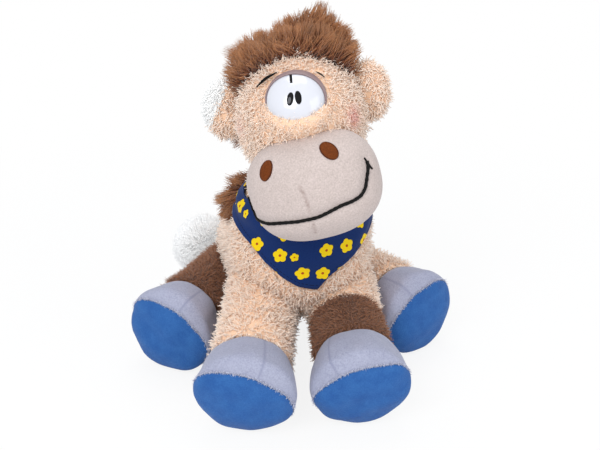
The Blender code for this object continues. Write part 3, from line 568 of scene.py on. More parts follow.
# %% Velour and fleece finishes
def nap_material(name, base, dark, seam, grain, depth, sheen, clouds):
    """Short nap: base colour, grain sized in millimetres, brushed clouds and painted seam shade."""
    material, tree, shader = new_material(name)
    fill(shader, {"Roughness": 0.9, "Specular IOR Level": 0.1, "Sheen Weight": sheen,
                  "Sheen Roughness": 0.4})
    space = add(tree, "ShaderNodeTexCoord", {})
    cloud = add(tree, "ShaderNodeTexNoise", {"Vector": space.outputs["Object"], "Scale": 110.0,
                                             "Detail": 3.0, "Roughness": 0.6})
    fine = add(tree, "ShaderNodeTexNoise", {"Vector": space.outputs["Object"],
                                            "Scale": 1000.0 / grain, "Detail": 2.0})
    mixed = add(tree, "ShaderNodeMath", {0: cloud.outputs["Fac"], 1: clouds,
                                         2: fine.outputs["Fac"]}, operation="MULTIPLY_ADD")
    middle = 0.5 + 0.5 * clouds
    share = add(tree, "ShaderNodeMapRange", {"Value": mixed.outputs[0], "From Min": middle - 0.3,
                                             "From Max": middle + 0.3})
    tone = add(tree, "ShaderNodeMix", {"Factor": share.outputs["Result"], "A": colour(dark),
                                       "B": colour(base)}, data_type="RGBA")
    # Painted shade: the seam colour darkens the nap where the seam attribute is high.
    line = add(tree, "ShaderNodeAttribute", {}, attribute_name="seam")
    shaded = add(tree, "ShaderNodeMix", {"Factor": line.outputs["Fac"],
                                         "A": tone.outputs["Result"], "B": colour(seam)},
                 data_type="RGBA")
    bump = add(tree, "ShaderNodeBump", {"Height": fine.outputs["Fac"], "Strength": depth,
                                        "Distance": 0.0004})
    fill(shader, {"Base Color": shaded.outputs["Result"], "Normal": bump.outputs["Normal"]})
    return material


# The third colour of each nap is its painted shade along seams.
muzzle_velour = nap_material("grey_pink_velour", "#D2C3BE", "#B2A49E", "#9A8680", grain=1.0,
                             depth=0.6, sheen=0.2, clouds=0.25)
lilac_velour = nap_material("lilac_velour", "#B2B4C7", "#9194AB", "#8E91A9", grain=1.0, depth=0.8,
                            sheen=0.2, clouds=0.3)
velour_fray = pile_material("lilac_velour_fray", "#B4B7CB", "#C4C6D8", "#D2D4E2", 0.1)
blue_fleece = nap_material("blue_fleece", "#386AA9", "#2A5798", "#305F9C", grain=0.9, depth=0.7,
                           sheen=0.15, clouds=1.0)


# %% [markdown]
# ## Body
# The torso is a pear that leans back on its rump, and the neck grows out of the chest. The two were
# one sewn cover, so they are made as two closed forms in one mesh and resurfaced to a single skin.

# %% Body skin
RUMP = (0.0, 0.0, 48.0)
TORSO_RISE = math.radians(26.0)
TORSO_LENGTH = 100.0
RUMP_RADIUS = 48.5
CHEST_RADIUS = 49.0
HEAD_PIVOT = (6.0, -104.0, 160.0)
torso_way = Vector((0.0, -math.cos(TORSO_RISE), math.sin(TORSO_RISE)))
torso_place = axis_frame(RUMP, torso_way, (0, 0, -1))
chest = Vector(RUMP) + torso_way * TORSO_LENGTH
neck_way = (Vector(HEAD_PIVOT) - chest).normalized()
neck_place = axis_frame(chest, neck_way, (1, 0, 0))


def arc(middle, along, radius, first, last, steps=12):
    """Profile points on an elliptical end."""
    angles = [math.radians(first + (last - first) * step / steps) for step in range(steps + 1)]
    return [(middle + along * math.sin(a), radius * math.cos(a)) for a in angles]


torso_line = arc(0, RUMP_RADIUS, RUMP_RADIUS, -90, 0)
torso_line += [(TORSO_LENGTH * s, RUMP_RADIUS + (CHEST_RADIUS - RUMP_RADIUS) * s
                + 1.5 * math.sin(math.pi * s)) for s in (0.25, 0.5, 0.75)]
torso_line += arc(TORSO_LENGTH, CHEST_RADIUS, CHEST_RADIUS, 0, 90)
neck_line = [(0, 0), (0, 46), (21, 47.2), (34, 45), (44, 42), (52, 38.5), (58, 34), (61, 24),
             (62, 0)]
body = to_object("body_skin", spun(torso_line, torso_place), spun(neck_line, neck_place))
resurface(body, 3.0, easing=6)
skin_places = places_of(body)
skin_places[:, 2] = np.maximum(skin_places[:, 2], 0.0)
set_places(body, skin_places)
body.data.materials.append(tan_backing)
body_tree = tree_of(body)
print("body skin has", len(body.data.polygons), "faces")

# %% [markdown]
# ## Head
# The head is a rounded cranium with a velour muzzle sewn into its front. It turns and nods on the
# packed stuffing at the top of the neck, so its underside is hollowed for the neck at every nod.

# %% Head skin and muzzle
HEAD_YAW = math.radians(-10.0)
HEAD_ROLL = math.radians(-8.0)
head_place = (at(HEAD_PIVOT) @ Matrix.Rotation(HEAD_YAW, 4, "Z")
              @ Matrix.Rotation(HEAD_ROLL, 4, "Y"))
CRANIUM = (-1.0, -17.0, 43.0)
CRANIUM_RADII = (41.0, 50.0, 45.0)
MUZZLE = (3.0, -62.0, 11.0)
MUZZLE_RADII = (43.5, 31.0, 36.0)
cranium_place = head_place @ at(CRANIUM)
muzzle_place = head_place @ at(MUZZLE) @ Matrix.Rotation(math.radians(-7.0), 4, "Y")
NOD = math.radians(12.0)


def nod_turns():
    """The head's turn at one end of the nod, at rest and at the other end."""
    nod_axis = head_place.to_3x3() @ Vector((1, 0, 0))
    return [turn_about(HEAD_PIVOT, angle, nod_axis) for angle in (-NOD, 0.0, NOD)]


def neck_room(name):
    """The room that the neck needs in the head, from one end of the nod to the other."""
    shape = bmesh.new()
    for turn in nod_turns():
        neck = spun([(0, 0), (0, 48.5), (21, 48.5), (42, 44), (60, 36), (61, 0)], neck_place, 24)
        bmesh.ops.transform(neck, matrix=turn, verts=neck.verts)
        loose = bpy.data.meshes.new("loose")
        neck.to_mesh(loose)
        neck.free()
        shape.from_mesh(loose)
        bpy.data.meshes.remove(loose)
    hull = bmesh.ops.convex_hull(shape, input=shape.verts)
    spare = dict.fromkeys(hull["geom_interior"] + hull["geom_unused"])
    bmesh.ops.delete(shape, geom=[v for v in spare if isinstance(v, bmesh.types.BMVert)],
                     context="VERTS")
    old = [f for f in shape.faces if f not in set(hull["geom"])]
    bmesh.ops.delete(shape, geom=old, context="FACES")
    bmesh.ops.recalc_face_normals(shape, faces=shape.faces)
    return to_object(name, shape)


head = to_object("head_skin", ball(CRANIUM_RADII, cranium_place, 5))
cut(head, to_object("muzzle_room", ball([r + 0.3 for r in MUZZLE_RADII], muzzle_place, 4)),
    neck_room("neck_room"))
head.data.materials.append(tan_backing)
print("head skin has", len(head.data.polygons), "faces")

# %% [markdown]
# ## Legs
# A leg is a stuffed sleeve of pile that ends in a wide velour hoof. Its fabric runs on into the
# torso at the seam.

# %% Leg sizes and forms
FORE = {"root": 25.5, "rim": 36.0, "rim_at": 103.0, "cuff_at": 73.0, "dome": 14.0, "slope": 15.0,
        "bends_from": 18.0}
HIND = {"root": 26.5, "rim": 34.5, "rim_at": 95.0, "cuff_at": 68.0, "dome": 13.0, "slope": 0.0,
        "bends_from": 6.0}
LEGS = {"foreleg_left": (FORE, (-27.0, -95.0, 60.932), -16.0, 1.0),
        "foreleg_right": (FORE, (27.0, -95.0, 60.932), -2.0, -1.0),
        "hindleg_left": (HIND, (-42.0, -18.0, 34.0), -35.0, 1.0),
        "hindleg_right": (HIND, (42.0, -18.0, 34.0), 28.0, -1.0)}
SOCK_AT = 38.0
BROWN = {("foreleg_right", "sock"), ("hindleg_left", "cover")}
ROUND_OFF = 2.5
SEAM_GAP = 0.3
SEAM_TILT = math.radians(18.0)
SEAM_TWIST = math.radians(25.0)
CUFF_SEAMS = {"foreleg_left": 24.0, "foreleg_right": -40.0, "hindleg_left": 30.0,
              "hindleg_right": -30.0}


def leg_direction(leg, heading):
    """The leg's direction from its pivot to its sole."""
    flat = math.cos(math.radians(leg["slope"]))
    turn = math.radians(heading)
    return Vector((math.sin(turn) * flat, -math.cos(turn) * flat,
                   -math.sin(math.radians(leg["slope"]))))


def leg_frame(name):
    """The placement of a leg, Z along it and X towards the floor."""
    leg, pivot, heading, inward = LEGS[name]
    return axis_frame(pivot, leg_direction(leg, heading), (0, 0, -1))


def leg_radius(leg, distance):
    """The leg's radius at a distance from its pivot."""
    cuff, rim, root = leg["cuff_at"], leg["rim_at"], leg["root"]
    top = root * 1.05
    marks = [0, cuff * 0.35, cuff * 0.7, cuff, cuff + (rim - cuff) * 0.45,
             cuff + (rim - cuff) * 0.85, rim]
    sizes = [root, root * 0.965, root * 0.975, top, top + (leg["rim"] - top) * 0.6,
             top + (leg["rim"] - top) * 0.93, leg["rim"]]
    return float(np.interp(distance, marks, sizes))


def rounded_span(leg, first, last):
    """A closed profile between two distances, with its ends rounded off as at a seam."""
    inside = [(d, leg_radius(leg, d)) for d in np.linspace(first + ROUND_OFF, last - ROUND_OFF, 9)]
    low, high = leg_radius(leg, first), leg_radius(leg, last)
    start = [(first, 0), (first, low * 0.6), (first, low - ROUND_OFF),
             (first + ROUND_OFF * 0.3, low - ROUND_OFF * 0.3)]
    end = [(last - ROUND_OFF * 0.3, high - ROUND_OFF * 0.3), (last, high - ROUND_OFF),
           (last, high * 0.6), (last, 0)]
    return start + inside + end


print("legs:", ", ".join(LEGS))

# %% [markdown]
# ## Sleeves
# Each sleeve is spun from its profile, resurfaced, and cut where it meets the torso. The right
# foreleg has a brown sock sewn to a tan sleeve, and the left hind leg is brown all the way.

# %% Sleeves
sleeves = {}
for leg_name, (leg, pivot, heading, inward) in LEGS.items():
    place = leg_frame(leg_name)
    ends = {"cover": (None, leg["cuff_at"])}
    if leg_name == "foreleg_right":
        ends = {"cover": (None, SOCK_AT), "sock": (SOCK_AT + SEAM_GAP, leg["cuff_at"])}
    for part_name, (first, last) in ends.items():
        if first is None:
            line = arc(0, leg["root"], leg["root"], -90, 0, 8)[:-1]
            line += rounded_span(leg, 0, last)[4:]
        else:
            line = rounded_span(leg, first, last)
        sleeve = to_object(leg_name + "_" + part_name + "_skin", spun(line, place, 40))
        resurface(sleeve, 2.6, easing=2)
        if part_name == "cover":
            cut(sleeve, new_object("torso_copy", body.data.copy()))
        brown = (leg_name, part_name) in BROWN
        sleeve.data.materials.append(brown_backing if brown else tan_backing)
        sleeves[leg_name, part_name] = sleeve
print(len(sleeves), "sleeves")

# %% [markdown]
# ## Hooves
# A hoof is one stuffed form of two cloths: a lilac velour cuff with a seam down its front, and a
# blue fleece sole. A tilted plane parts the two. These helpers tell where the seams run.

# %% Where a hoof's seams run
def sole_seam(leg_name):
    """A spot on the sole's seam and the seam's normal, in the leg's own frame."""
    leg, pivot, heading, inward = LEGS[leg_name]
    up = Vector((-math.cos(SEAM_TWIST), inward * math.sin(SEAM_TWIST), 0))
    normal = (Vector((0, 0, math.cos(SEAM_TILT))) - up * math.sin(SEAM_TILT)).normalized()
    return Vector((0, 0, leg["rim_at"] + 1.0)), normal


def seam_marks(leg_name, points):
    """Distances to the sole's seam, the front seam and the cuff's top, for world points."""
    spot, normal = sole_seam(leg_name)
    local = in_frame(leg_frame(leg_name), points)
    sole = (local - np.array(spot)) @ np.array(normal)
    turn = math.radians(CUFF_SEAMS[leg_name])
    front = np.array((-math.cos(turn), math.sin(turn), 0.0))
    across = local @ np.cross(front, (0, 0, 1))
    line_gap = np.where((local @ front > 0) & (sole < 0), np.abs(across), FAR)
    return sole, line_gap, local[:, 2] - (LEGS[leg_name][0]["cuff_at"] + SEAM_GAP)


# %% [markdown]
# ## Stuffing the hooves
# The form starts a millimetre small. Its seams are pinned, and the cloth solver swells the panels
# between them. Slow noise gives the soft dents of loose stuffing.

# %% Stuffed hooves
DENT_WIDTH = 17.0
DENT_DEPTH = 1.5
START_SMALLER = 0.9
PINNED = 1.6
CUFF_TOP_PINNED = 2.0
hoof_forms = {}
for leg_name, (leg, pivot, heading, inward) in LEGS.items():
    cuff, rim = leg["cuff_at"] + SEAM_GAP, leg["rim_at"]
    low = leg_radius(leg, cuff)
    line = [(cuff, 0), (cuff, low * 0.6), (cuff, low - ROUND_OFF), (cuff + 0.8, low - 0.8)]
    line += [(d, leg_radius(leg, d)) for d in np.linspace(cuff + ROUND_OFF, rim, 8)]
    line += arc(rim, leg["dome"], leg["rim"], 0, 90, 10)[1:]
    hoof = to_object(leg_name + "_hoof", spun(line, leg_frame(leg_name), 48))
    resurface(hoof, 2.6, easing=2)
    points = places_of(hoof) - normals_of(hoof) * (START_SMALLER * MM)
    set_places(hoof, points)
    sole, line_gap, top = seam_marks(leg_name, points)
    stuff(hoof, (np.abs(sole) < PINNED) | (line_gap < PINNED) | (top < CUFF_TOP_PINNED))
    finer = hoof.modifiers.new("finer", "SUBSURF")
    finer.levels = finer.render_levels = 1
    apply_modifiers(hoof)
    points = places_of(hoof)
    dents = np.array([noise.noise(Vector(point) / (DENT_WIDTH * MM)) for point in points])
    points = points + normals_of(hoof) * (dents * DENT_DEPTH * MM)[:, None]
    points[:, 2] = np.maximum(points[:, 2], 0.0)
    set_places(hoof, points)
    hoof_forms[leg_name] = hoof
print(len(hoof_forms), "hooves stuffed")

# %% [markdown]
# ## Cuffs and soles
# Each form is parted along its sole seam. How near a vertex is to a seam is stored on both parts,
# because their materials paint shade there, where the pinned seam dips in.

# %% Cuffs and soles
# Half widths of the painted shade along the sole seam and the cuff's front seam.
SOLE_SEAM_SHADE_WIDTH, FRONT_SEAM_SHADE_WIDTH = 0.9, 0.8
hooves = {}
for leg_name, hoof in hoof_forms.items():
    place = leg_frame(leg_name)
    spot, normal = sole_seam(leg_name)
    for part_name, finish in (("cuff", lilac_velour), ("sole", blue_fleece)):
        shape = bmesh.new()
        shape.from_mesh(hoof.data)
        gap = normal * (SEAM_GAP / 2) * (-1 if part_name == "cuff" else 1)
        halve(shape, place @ ((spot + gap) * MM), place.to_3x3() @ normal, part_name == "cuff")
        half = to_object(leg_name + "_" + part_name + "_skin", shape)
        sole, line_gap, top = seam_marks(leg_name, places_of(half))
        # Painted shade along the seams, stored as the seam attribute.
        edge = np.exp(-(np.abs(sole) / SOLE_SEAM_SHADE_WIDTH) ** 2)
        front = np.exp(-(line_gap / FRONT_SEAM_SHADE_WIDTH) ** 2)
        edge = np.maximum(edge, front * (part_name == "cuff"))
        set_attribute(half, "seam", edge)
        half.data.materials.append(finish)
        hooves[leg_name, part_name] = half
    bpy.data.objects.remove(hoof, do_unlink=True)
print(len(hooves), "cuffs and soles")

# %% [markdown]
# ## Frayed velour
# Velour frays where it is cut, and a row of its fibres lies over the sole's seam.

# %% Frayed edges
FRAY_FROM, FRAY_TO = -1.3, -0.25
FRAYS_PER_AREA = 3.5
frays = {}
for leg_name in LEGS:
    to_sole = np.array((leg_frame(leg_name).to_3x3() @ sole_seam(leg_name)[1]).normalized())

    def near_seam(points, normals):
        """Where the velour's cut edge frays, along the sole seam."""
        sole = seam_marks(leg_name, points)[0]
        return (sole > FRAY_FROM) & (sole < FRAY_TO)

    def over_seam(points, normals):
        """The frayed edge lies over the seam towards the sole."""
        return unit(to_sole - normals * (normals @ to_sole)[:, None])

    cuff_half = hooves[leg_name, "cuff"]
    fray = pile(leg_name + "_seam_fuzz", cuff_half,
                int(area_of(cuff_half) * FRAYS_PER_AREA * DENSITY), 1.8, 0.6, 60 + len(frays),
                keep=near_seam, comb=over_seam, lean=0.62, bend=0.2, spread=0.6, rings=2, sink=0.3)
    fray.data.materials.append(velour_fray)
    frays[leg_name] = fray

# %% [markdown]
# ## Muzzle
# The muzzle is velour over firm stuffing, and it is wide and nearly square from the front. It
# starts as an ellipsoid whose four diagonals are filled out, which is quicker to adjust than a
# profile and stays even all over.

# %% Muzzle form
SQUARENESS = 2.45


def squared(obj, place, radii):
    """Fills out a ball's four diagonals, as firm stuffing does in a flat face."""
    local = in_frame(place, places_of(obj))
    across, upward = np.abs(local[:, 0] / radii[0]), np.abs(local[:, 2] / radii[2])
    reach = np.maximum(np.hypot(across, upward), 1e-9)
    share = (across / reach) ** SQUARENESS + (upward / reach) ** SQUARENESS
    local[:, [0, 2]] *= (share ** (-1 / SQUARENESS))[:, None]
    ahead = np.array(place)
    set_places(obj, local * MM @ ahead[:3, :3].T + ahead[:3, 3])


muzzle = to_object("muzzle_skin", ball(MUZZLE_RADII, muzzle_place, 6))
squared(muzzle, muzzle_place, MUZZLE_RADII)
muzzle_tree = tree_of(muzzle)
print("muzzle form has", len(muzzle.data.polygons), "faces")

# %% [markdown]
# ## From the picture to the cloth
# Mouth, nostrils and the seam between them are sewn lines, and their exact course gives the face
# its look. Measured points of the picture are carried to the muzzle by rays from the camera, so
# each line lies on the cloth where the camera sees it. The thread pulls the cloth in, so a groove
# is pressed along each line.

# %% Lines on the muzzle
FACE_MIDDLE = (306.0, 165.0)
SLIDE = 0.25


def on_surface(tree, across, down):
    """The point of a surface behind a point of the picture. One that misses slides inwards."""
    middle = np.array(FACE_MIDDLE)
    point = np.array((across, down), dtype=float)
    way = (middle - point) / max(1e-6, float(np.linalg.norm(middle - point)))
    for step in range(120):
        ray = picture_ray(float(point[0]), float(point[1]))
        spot, normal, face, reach = tree.ray_cast(camera.location, ray)
        if spot is not None:
            return spot, normal
        point = point + way * SLIDE
    spot, normal, face, reach = tree.find_nearest(camera.location + ray * CAMERA_REACH)
    return spot, normal


def smooth_line(points, count):
    """A dense smooth line through points of the picture."""
    flat = np.array(points, dtype=float)
    reach = np.concatenate([[0], np.cumsum(np.linalg.norm(np.diff(flat, axis=0), axis=1))])
    marks = np.linspace(0, reach[-1], count)
    dense = np.stack([np.interp(marks, reach, flat[:, axis]) for axis in (0, 1)], axis=1)
    for step in range(6):
        dense[1:-1] = (dense[:-2] + dense[1:-1] * 2 + dense[2:]) / 4
    return dense


MOUTH = [(247.6, 198), (249, 205), (253, 213.5), (259.6, 220.8), (268.4, 223.8), (283.8, 222.6),
         (297, 221.6), (308, 219.4), (319, 216.8), (330, 211.3), (341, 205.4), (352, 201.4),
         (360.8, 195.9), (365.2, 188.2), (366.3, 179.4), (368, 168.4), (366.6, 161)]
NOSE_SEAM = [(299.6, 187), (305.8, 199), (311.3, 218), (315.7, 233)]


def along_surface(tree, points, count):
    """Spots of a surface and their normals, behind a smooth line through points of the picture."""
    return [on_surface(tree, *point) for point in smooth_line(points, count)]


mouth_spots = along_surface(muzzle_tree, MOUTH, 90)
seam_spots = along_surface(muzzle_tree, NOSE_SEAM, 30)


def press(obj, spots, depth, width):
    """Presses a groove into a skin along a line of spots, and returns each vertex's share of it."""
    points = places_of(obj)
    own, gap = nearest(points, np.array([spot[:] for spot, normal in spots]))
    share = np.exp(-(gap / (width * MM)) ** 2)
    set_places(obj, points - normals_of(obj) * (share * depth * MM)[:, None])
    return share


press(muzzle, mouth_spots, 1.6, 4.0)
# The nose seam's groove also gets painted shade, stored as its seam attribute.
set_attribute(muzzle, "seam", press(muzzle, seam_spots, 0.9, 0.8) * 0.85)
muzzle.data.materials.append(muzzle_velour)
muzzle_tree = tree_of(muzzle)
print("muzzle skin has", len(muzzle.data.polygons), "faces")

# %% [markdown]
# ## Thread
# Embroidery thread is twisted rayon with a slight gloss, and a cord of it stands a fraction of a
# millimetre proud of the cloth. Each thread is a curve with a round section, made a mesh, so it
# casts its own small shadow. Its ply is too fine to show, so it is drawn at about a millimetre.

# %% Thread
thread_finishes = {}
for finish_name, code, dark in (("black_embroidery_cord", "#100F0F", "#080808"),
                                ("brown_embroidery_thread", "#85431A", "#4E260C"),
                                ("dark_brown_embroidery_thread", "#562810", "#3F1C0A")):
    thread, tree, shader = new_material(finish_name)
    space = add(tree, "ShaderNodeTexCoord", {})
    ply = add(tree, "ShaderNodeTexNoise", {"Vector": space.outputs["Object"], "Scale": 900.0,
                                           "Detail": 2.0})
    tone = add(tree, "ShaderNodeMix", {"Factor": ply.outputs["Fac"], "A": colour(dark),
                                       "B": colour(code)}, data_type="RGBA")
    bump = add(tree, "ShaderNodeBump", {"Height": ply.outputs["Fac"], "Strength": 0.5,
                                        "Distance": 0.0003})
    fill(shader, {"Roughness": 0.6, "Specular IOR Level": 0.12,
                  "Base Color": tone.outputs["Result"], "Normal": bump.outputs["Normal"]})
    thread_finishes[finish_name] = thread


def threads(name, lines, radius, material, swell=None):
    """One piece of thread or cord laid along lines of points, made a mesh."""
    curve = bpy.data.curves.new(name, "CURVE")
    curve.dimensions = "3D"
    curve.bevel_depth = radius * MM
    curve.bevel_resolution = 2
    curve.use_fill_caps = True
    for line in lines:
        spline = curve.splines.new("POLY")
        spline.points.add(len(line) - 1)
        for index, (point, place) in enumerate(zip(spline.points, line)):
            point.co = (*place, 1.0)
            point.radius = 1.0 if swell is None else swell(index, len(line))
    made = new_object(name, curve)
    graph = bpy.context.evaluated_depsgraph_get()
    mesh = bpy.data.meshes.new_from_object(made.evaluated_get(graph), depsgraph=graph)
    mesh.name = name
    bpy.data.objects.remove(made, do_unlink=True)
    mesh.materials.clear()
    mesh.materials.append(material)
    mesh.shade_smooth()
    return new_object(name, mesh)


def mouth_swell(index, count):
    """Thin at the left corner, with the beat of the stitches."""
    share = index / (count - 1)
    return (0.55 + 0.5 * min(1.0, share * 5)) * (1 + 0.1 * math.sin(index * 1.7))


def raised(spots, height):
    """Points a height above the cloth, in millimetres."""
    return [spot + normal * (height * MM) for spot, normal in spots]


# %% [markdown]
# ## Mouth line
# The mouth is one thick line of chain stitch in black cord, with a short stitch at its right
# corner. It follows the groove in the muzzle, and it swells and thins with the beat of the
# stitches.

# %% Mouth line
black_cord = thread_finishes["black_embroidery_cord"]
mouth_line = raised(along_surface(muzzle_tree, MOUTH, 110), 0.5)
mouth = threads("mouth_cord", [mouth_line], 1.05, black_cord, mouth_swell)
CORNER_TICK = [(364, 158), (367.5, 163), (372, 169)]
tick = threads("mouth_corner_cord", [raised(along_surface(muzzle_tree, CORNER_TICK, 12), 0.3)],
               0.6, black_cord)
mouth_length = sum((end - start).length for start, end in zip(mouth_line, mouth_line[1:]))
print("mouth line:", round(mouth_length / MM), "mm long")

# %% [markdown]
# ## Nostrils
# Each nostril is satin stitch: threads laid side by side across an oval, plump in the middle, with
# an outline thread round it that hides their ends. The threads are laid one by one, because their
# ridges catch the light where a painted oval would look flat.

# %% Nostrils
THREAD_STEP = 0.52
PLUMPNESS = 0.8


def nostril(name, middle, tip, long_half, short_half):
    """A satin-stitched oval round a point of the picture, its long way towards another point."""
    spot, normal = on_surface(muzzle_tree, *middle)
    beyond, other_normal = on_surface(muzzle_tree, *tip)
    along = (beyond - spot - normal * (beyond - spot).dot(normal)).normalized()
    across = normal.cross(along)

    def lay(u, v, height):
        """A point at u along and v across the oval, laid on the cloth and raised."""
        flat = spot + (along * u + across * v) * MM
        foot, foot_normal, face, reach = muzzle_tree.find_nearest(flat)
        return foot + foot_normal * (height * MM)

    rows = []
    for u in np.arange(-long_half + 0.4, long_half, THREAD_STEP):
        half = short_half * math.sqrt(max(0.0, 1 - (u / long_half) ** 2))
        swell = PLUMPNESS * math.sqrt(max(0.05, half / short_half))
        rows.append([lay(u, half * s, 0.1 + swell * math.sqrt(max(0.0, 1 - s * s)))
                     for s in np.linspace(-1, 1, 9)])
    satin = threads(name + "_satin", rows, 0.34, thread_finishes["brown_embroidery_thread"])
    ring = [lay(long_half * math.cos(a), short_half * math.sin(a), 0.2)
            for a in np.linspace(0, 2 * math.pi, 41)]
    rim = threads(name + "_outline", [ring], 0.5, thread_finishes["dark_brown_embroidery_thread"])
    return satin, rim


nostrils = {"nostril_left": nostril("nostril_left", (266, 170.5), (269, 161), 6.6, 4.3),
            "nostril_right": nostril("nostril_right", (329, 150.5), (334, 156), 6.8, 4.6)}
print(len(nostrils), "nostrils")

# %% [markdown]
# ## Eye
# One moulded dome sits on the forehead, glossy and very slightly blue, and a soft plastic lid runs
# round its upper edge. The dome is a flat ellipsoid set into the skin. The lid is a slightly larger
# shell of the same form, so it follows the dome closely, cut by two planes.

# %% Eye dome and lid
EYE_LIFT = math.radians(36.2)
EYE_TILT = math.radians(45.0)
EYE_RADIUS = 17.8
EYE_HEIGHT = 11.5
eye_spot = Vector(CRANIUM) + Vector((0, -CRANIUM_RADII[1] * math.cos(EYE_LIFT),
                                     CRANIUM_RADII[2] * math.sin(EYE_LIFT)))
eye_way = Vector((0, -math.cos(EYE_TILT), math.sin(EYE_TILT)))
eye_place = head_place @ axis_frame(eye_spot - eye_way * 2.0, eye_way, (1, 0, 0))


def plastic(name, code, roughness, coat, specular=0.5):
    """Moulded plastic or ink with a coat of gloss and a trace of unevenness."""
    material, tree, shader = new_material(name)
    space = add(tree, "ShaderNodeTexCoord", {})
    flow = add(tree, "ShaderNodeTexNoise", {"Vector": space.outputs["Object"], "Scale": 60.0})
    tone = add(tree, "ShaderNodeMix", {"Factor": flow.outputs["Fac"], "A": colour(code),
                                       "B": [min(1.0, c * 0.94) for c in colour(code)[:3]] + [1.0]},
               data_type="RGBA")
    fill(shader, {"Roughness": roughness, "IOR": 1.5, "Specular IOR Level": specular,
                  "Coat Weight": coat, "Coat Roughness": 0.08,
                  "Base Color": tone.outputs["Result"]})
    return material


eye_white = plastic("moulded_white_acrylic", "#D6D7DF", 0.2, 0.6)
lid_plastic = plastic("moulded_mauve_vinyl", "#8A7375", 0.45, 0.2)
pupil_ink = plastic("black_printed_ink", "#0C0C0E", 0.5, 0.0, specular=0.1)
# A grey painted highlight for the left pupil, matt like the ink.
painted_highlight_ink = plastic("grey_painted_highlight_ink", "#5E5E62", 0.5, 0.0, specular=0.1)

DOME_EASE = 0.9
DOME_RADII = np.array((EYE_RADIUS + DOME_EASE, EYE_RADIUS + DOME_EASE, EYE_HEIGHT))
dome = to_object("eye_dome_smooth", ball(DOME_RADII, eye_place, 6))
dome.data.materials.append(eye_white)
dome_tree = tree_of(dome)

LID_EASE = 1.0
LID_PLANE = math.radians(64.0)
LID_TURN = math.radians(-12.0)
LID_ENDS = -5.0
LID_FOOT = -4.0
lid_place = eye_place @ Matrix.Rotation(LID_TURN, 4, "Z")
lid_shape = ball(DOME_RADII + LID_EASE, lid_place, 6)
for spot, way in (((0, LID_ENDS, 0), (0, math.cos(LID_PLANE), -math.sin(LID_PLANE))),
                  ((0, 0, LID_FOOT), (0, 0, 1))):
    bmesh.ops.bisect_plane(lid_shape, geom=whole_of(lid_shape), clear_inner=True,
                           plane_co=lid_place @ (Vector(spot) * MM),
                           plane_no=(lid_place.to_3x3() @ Vector(way)).normalized())
bmesh.ops.solidify(lid_shape, geom=lid_shape.faces[:], thickness=LID_EASE * 0.9 * MM)
bmesh.ops.recalc_face_normals(lid_shape, faces=lid_shape.faces)
lid = to_object("eye_lid_smooth", lid_shape)
lid.data.materials.append(lid_plastic)
print("eye dome:", round(2 * float(DOME_RADII[0]), 1), "mm across")

# %% [markdown]
# ## Printed pupils
# The two small pupils and the short line above them are printed, and a grey patch in the left pupil
# is a painted highlight. A printed picture would need a map of the dome, so each patch is a thin
# closed film instead, whose outline in the picture is carried to the dome. Ink is matt beside the
# glossy plastic.

# %% Printed pupils
FILM = 0.08
OVAL_STEPS = 28


def print_film(name, outline, material, lift=0.14, rows=7):
    """A printed patch or painted highlight: an outline in the picture, laid on the dome as a thin
    closed film.
    """
    shape = bmesh.new()
    centre = np.mean(outline, axis=0)
    rings = []
    for row in range(1, rows + 1):
        ring = []
        for point in outline:
            place = centre + (np.array(point) - centre) * row / rows
            spot, normal = on_surface(dome_tree, *place)
            ring.append(shape.verts.new(spot + normal * (lift * MM)))
        rings.append(ring)
    spot, normal = on_surface(dome_tree, *centre)
    middle = shape.verts.new(spot + normal * (lift * MM))
    count = len(outline)
    for index in range(count):
        shape.faces.new((middle, rings[0][index], rings[0][(index + 1) % count]))
        for inner, outer in zip(rings, rings[1:]):
            shape.faces.new((inner[index], outer[index], outer[(index + 1) % count],
                             inner[(index + 1) % count]))
    bmesh.ops.recalc_face_normals(shape, faces=shape.faces)
    bmesh.ops.solidify(shape, geom=shape.faces[:], thickness=FILM * MM)
    film = to_object(name, shape)
    film.data.materials.append(material)
    return film


def oval(middle, wide, high, tilt):
    """An oval outline in the picture, tilted by degrees."""
    turn = math.radians(tilt)
    points = []
    for angle in np.arange(OVAL_STEPS) * 2 * math.pi / OVAL_STEPS:
        across, down = wide / 2 * math.cos(angle), high / 2 * math.sin(angle)
        points.append((middle[0] + across * math.cos(turn) - down * math.sin(turn),
                       middle[1] + across * math.sin(turn) + down * math.cos(turn)))
    return points


def long_sides(top, bottom, wide):
    """The outline in the picture of an upright line, with enough points to follow the dome."""
    down = np.linspace(top, bottom, 9)
    half = np.array((wide / 2, 0.0))
    return [*(down + half), *(down - half)[::-1]]


pupils = [print_film("pupil_left", oval((290.2, 99), 6.6, 13.5, 8), pupil_ink),
          print_film("pupil_right", oval((298.2, 97.6), 6.8, 13.5, -8), pupil_ink),
          print_film("pupil_left_glint", oval((289.4, 100.5), 3.0, 7.0, 8), painted_highlight_ink, lift=0.26),
          print_film("eye_line", long_sides((290.3, 70.5), (291.3, 83.0), 2.6), pupil_ink, rows=3)]
print("eye:", len(pupils), "printed films")

# %% [markdown]
# ## Cheek roll and brow stitches
# The stuffing stands up round the lower half of the eye, so pile hides the dome's foot. Two short
# lines of black stitches make the brow.

# %% Cheek roll and brow
CHEEK_ROLL = 9.0


def round_eye(points):
    """World points in the eye's frame (across, up and out), and how far they are from its edge."""
    local = in_frame(eye_place, points)
    return local, np.hypot(local[:, 0], local[:, 1]) - EYE_RADIUS


near, edge_gap = round_eye(places_of(head))
lower = np.clip((4.0 - near[:, 1]) / 18.0, 0.0, 1.0)
roll = np.exp(-((edge_gap + 2.5) / 5.5) ** 2) * lower * (near[:, 2] > -25)
set_places(head, places_of(head) + normals_of(head) * (roll * CHEEK_ROLL * MM)[:, None])
head_tree = tree_of(head)


def brow_swell(index, count):
    """Thick in the middle and tapered at both ends."""
    return 0.35 + 0.75 * math.sin(math.pi * index / (count - 1))


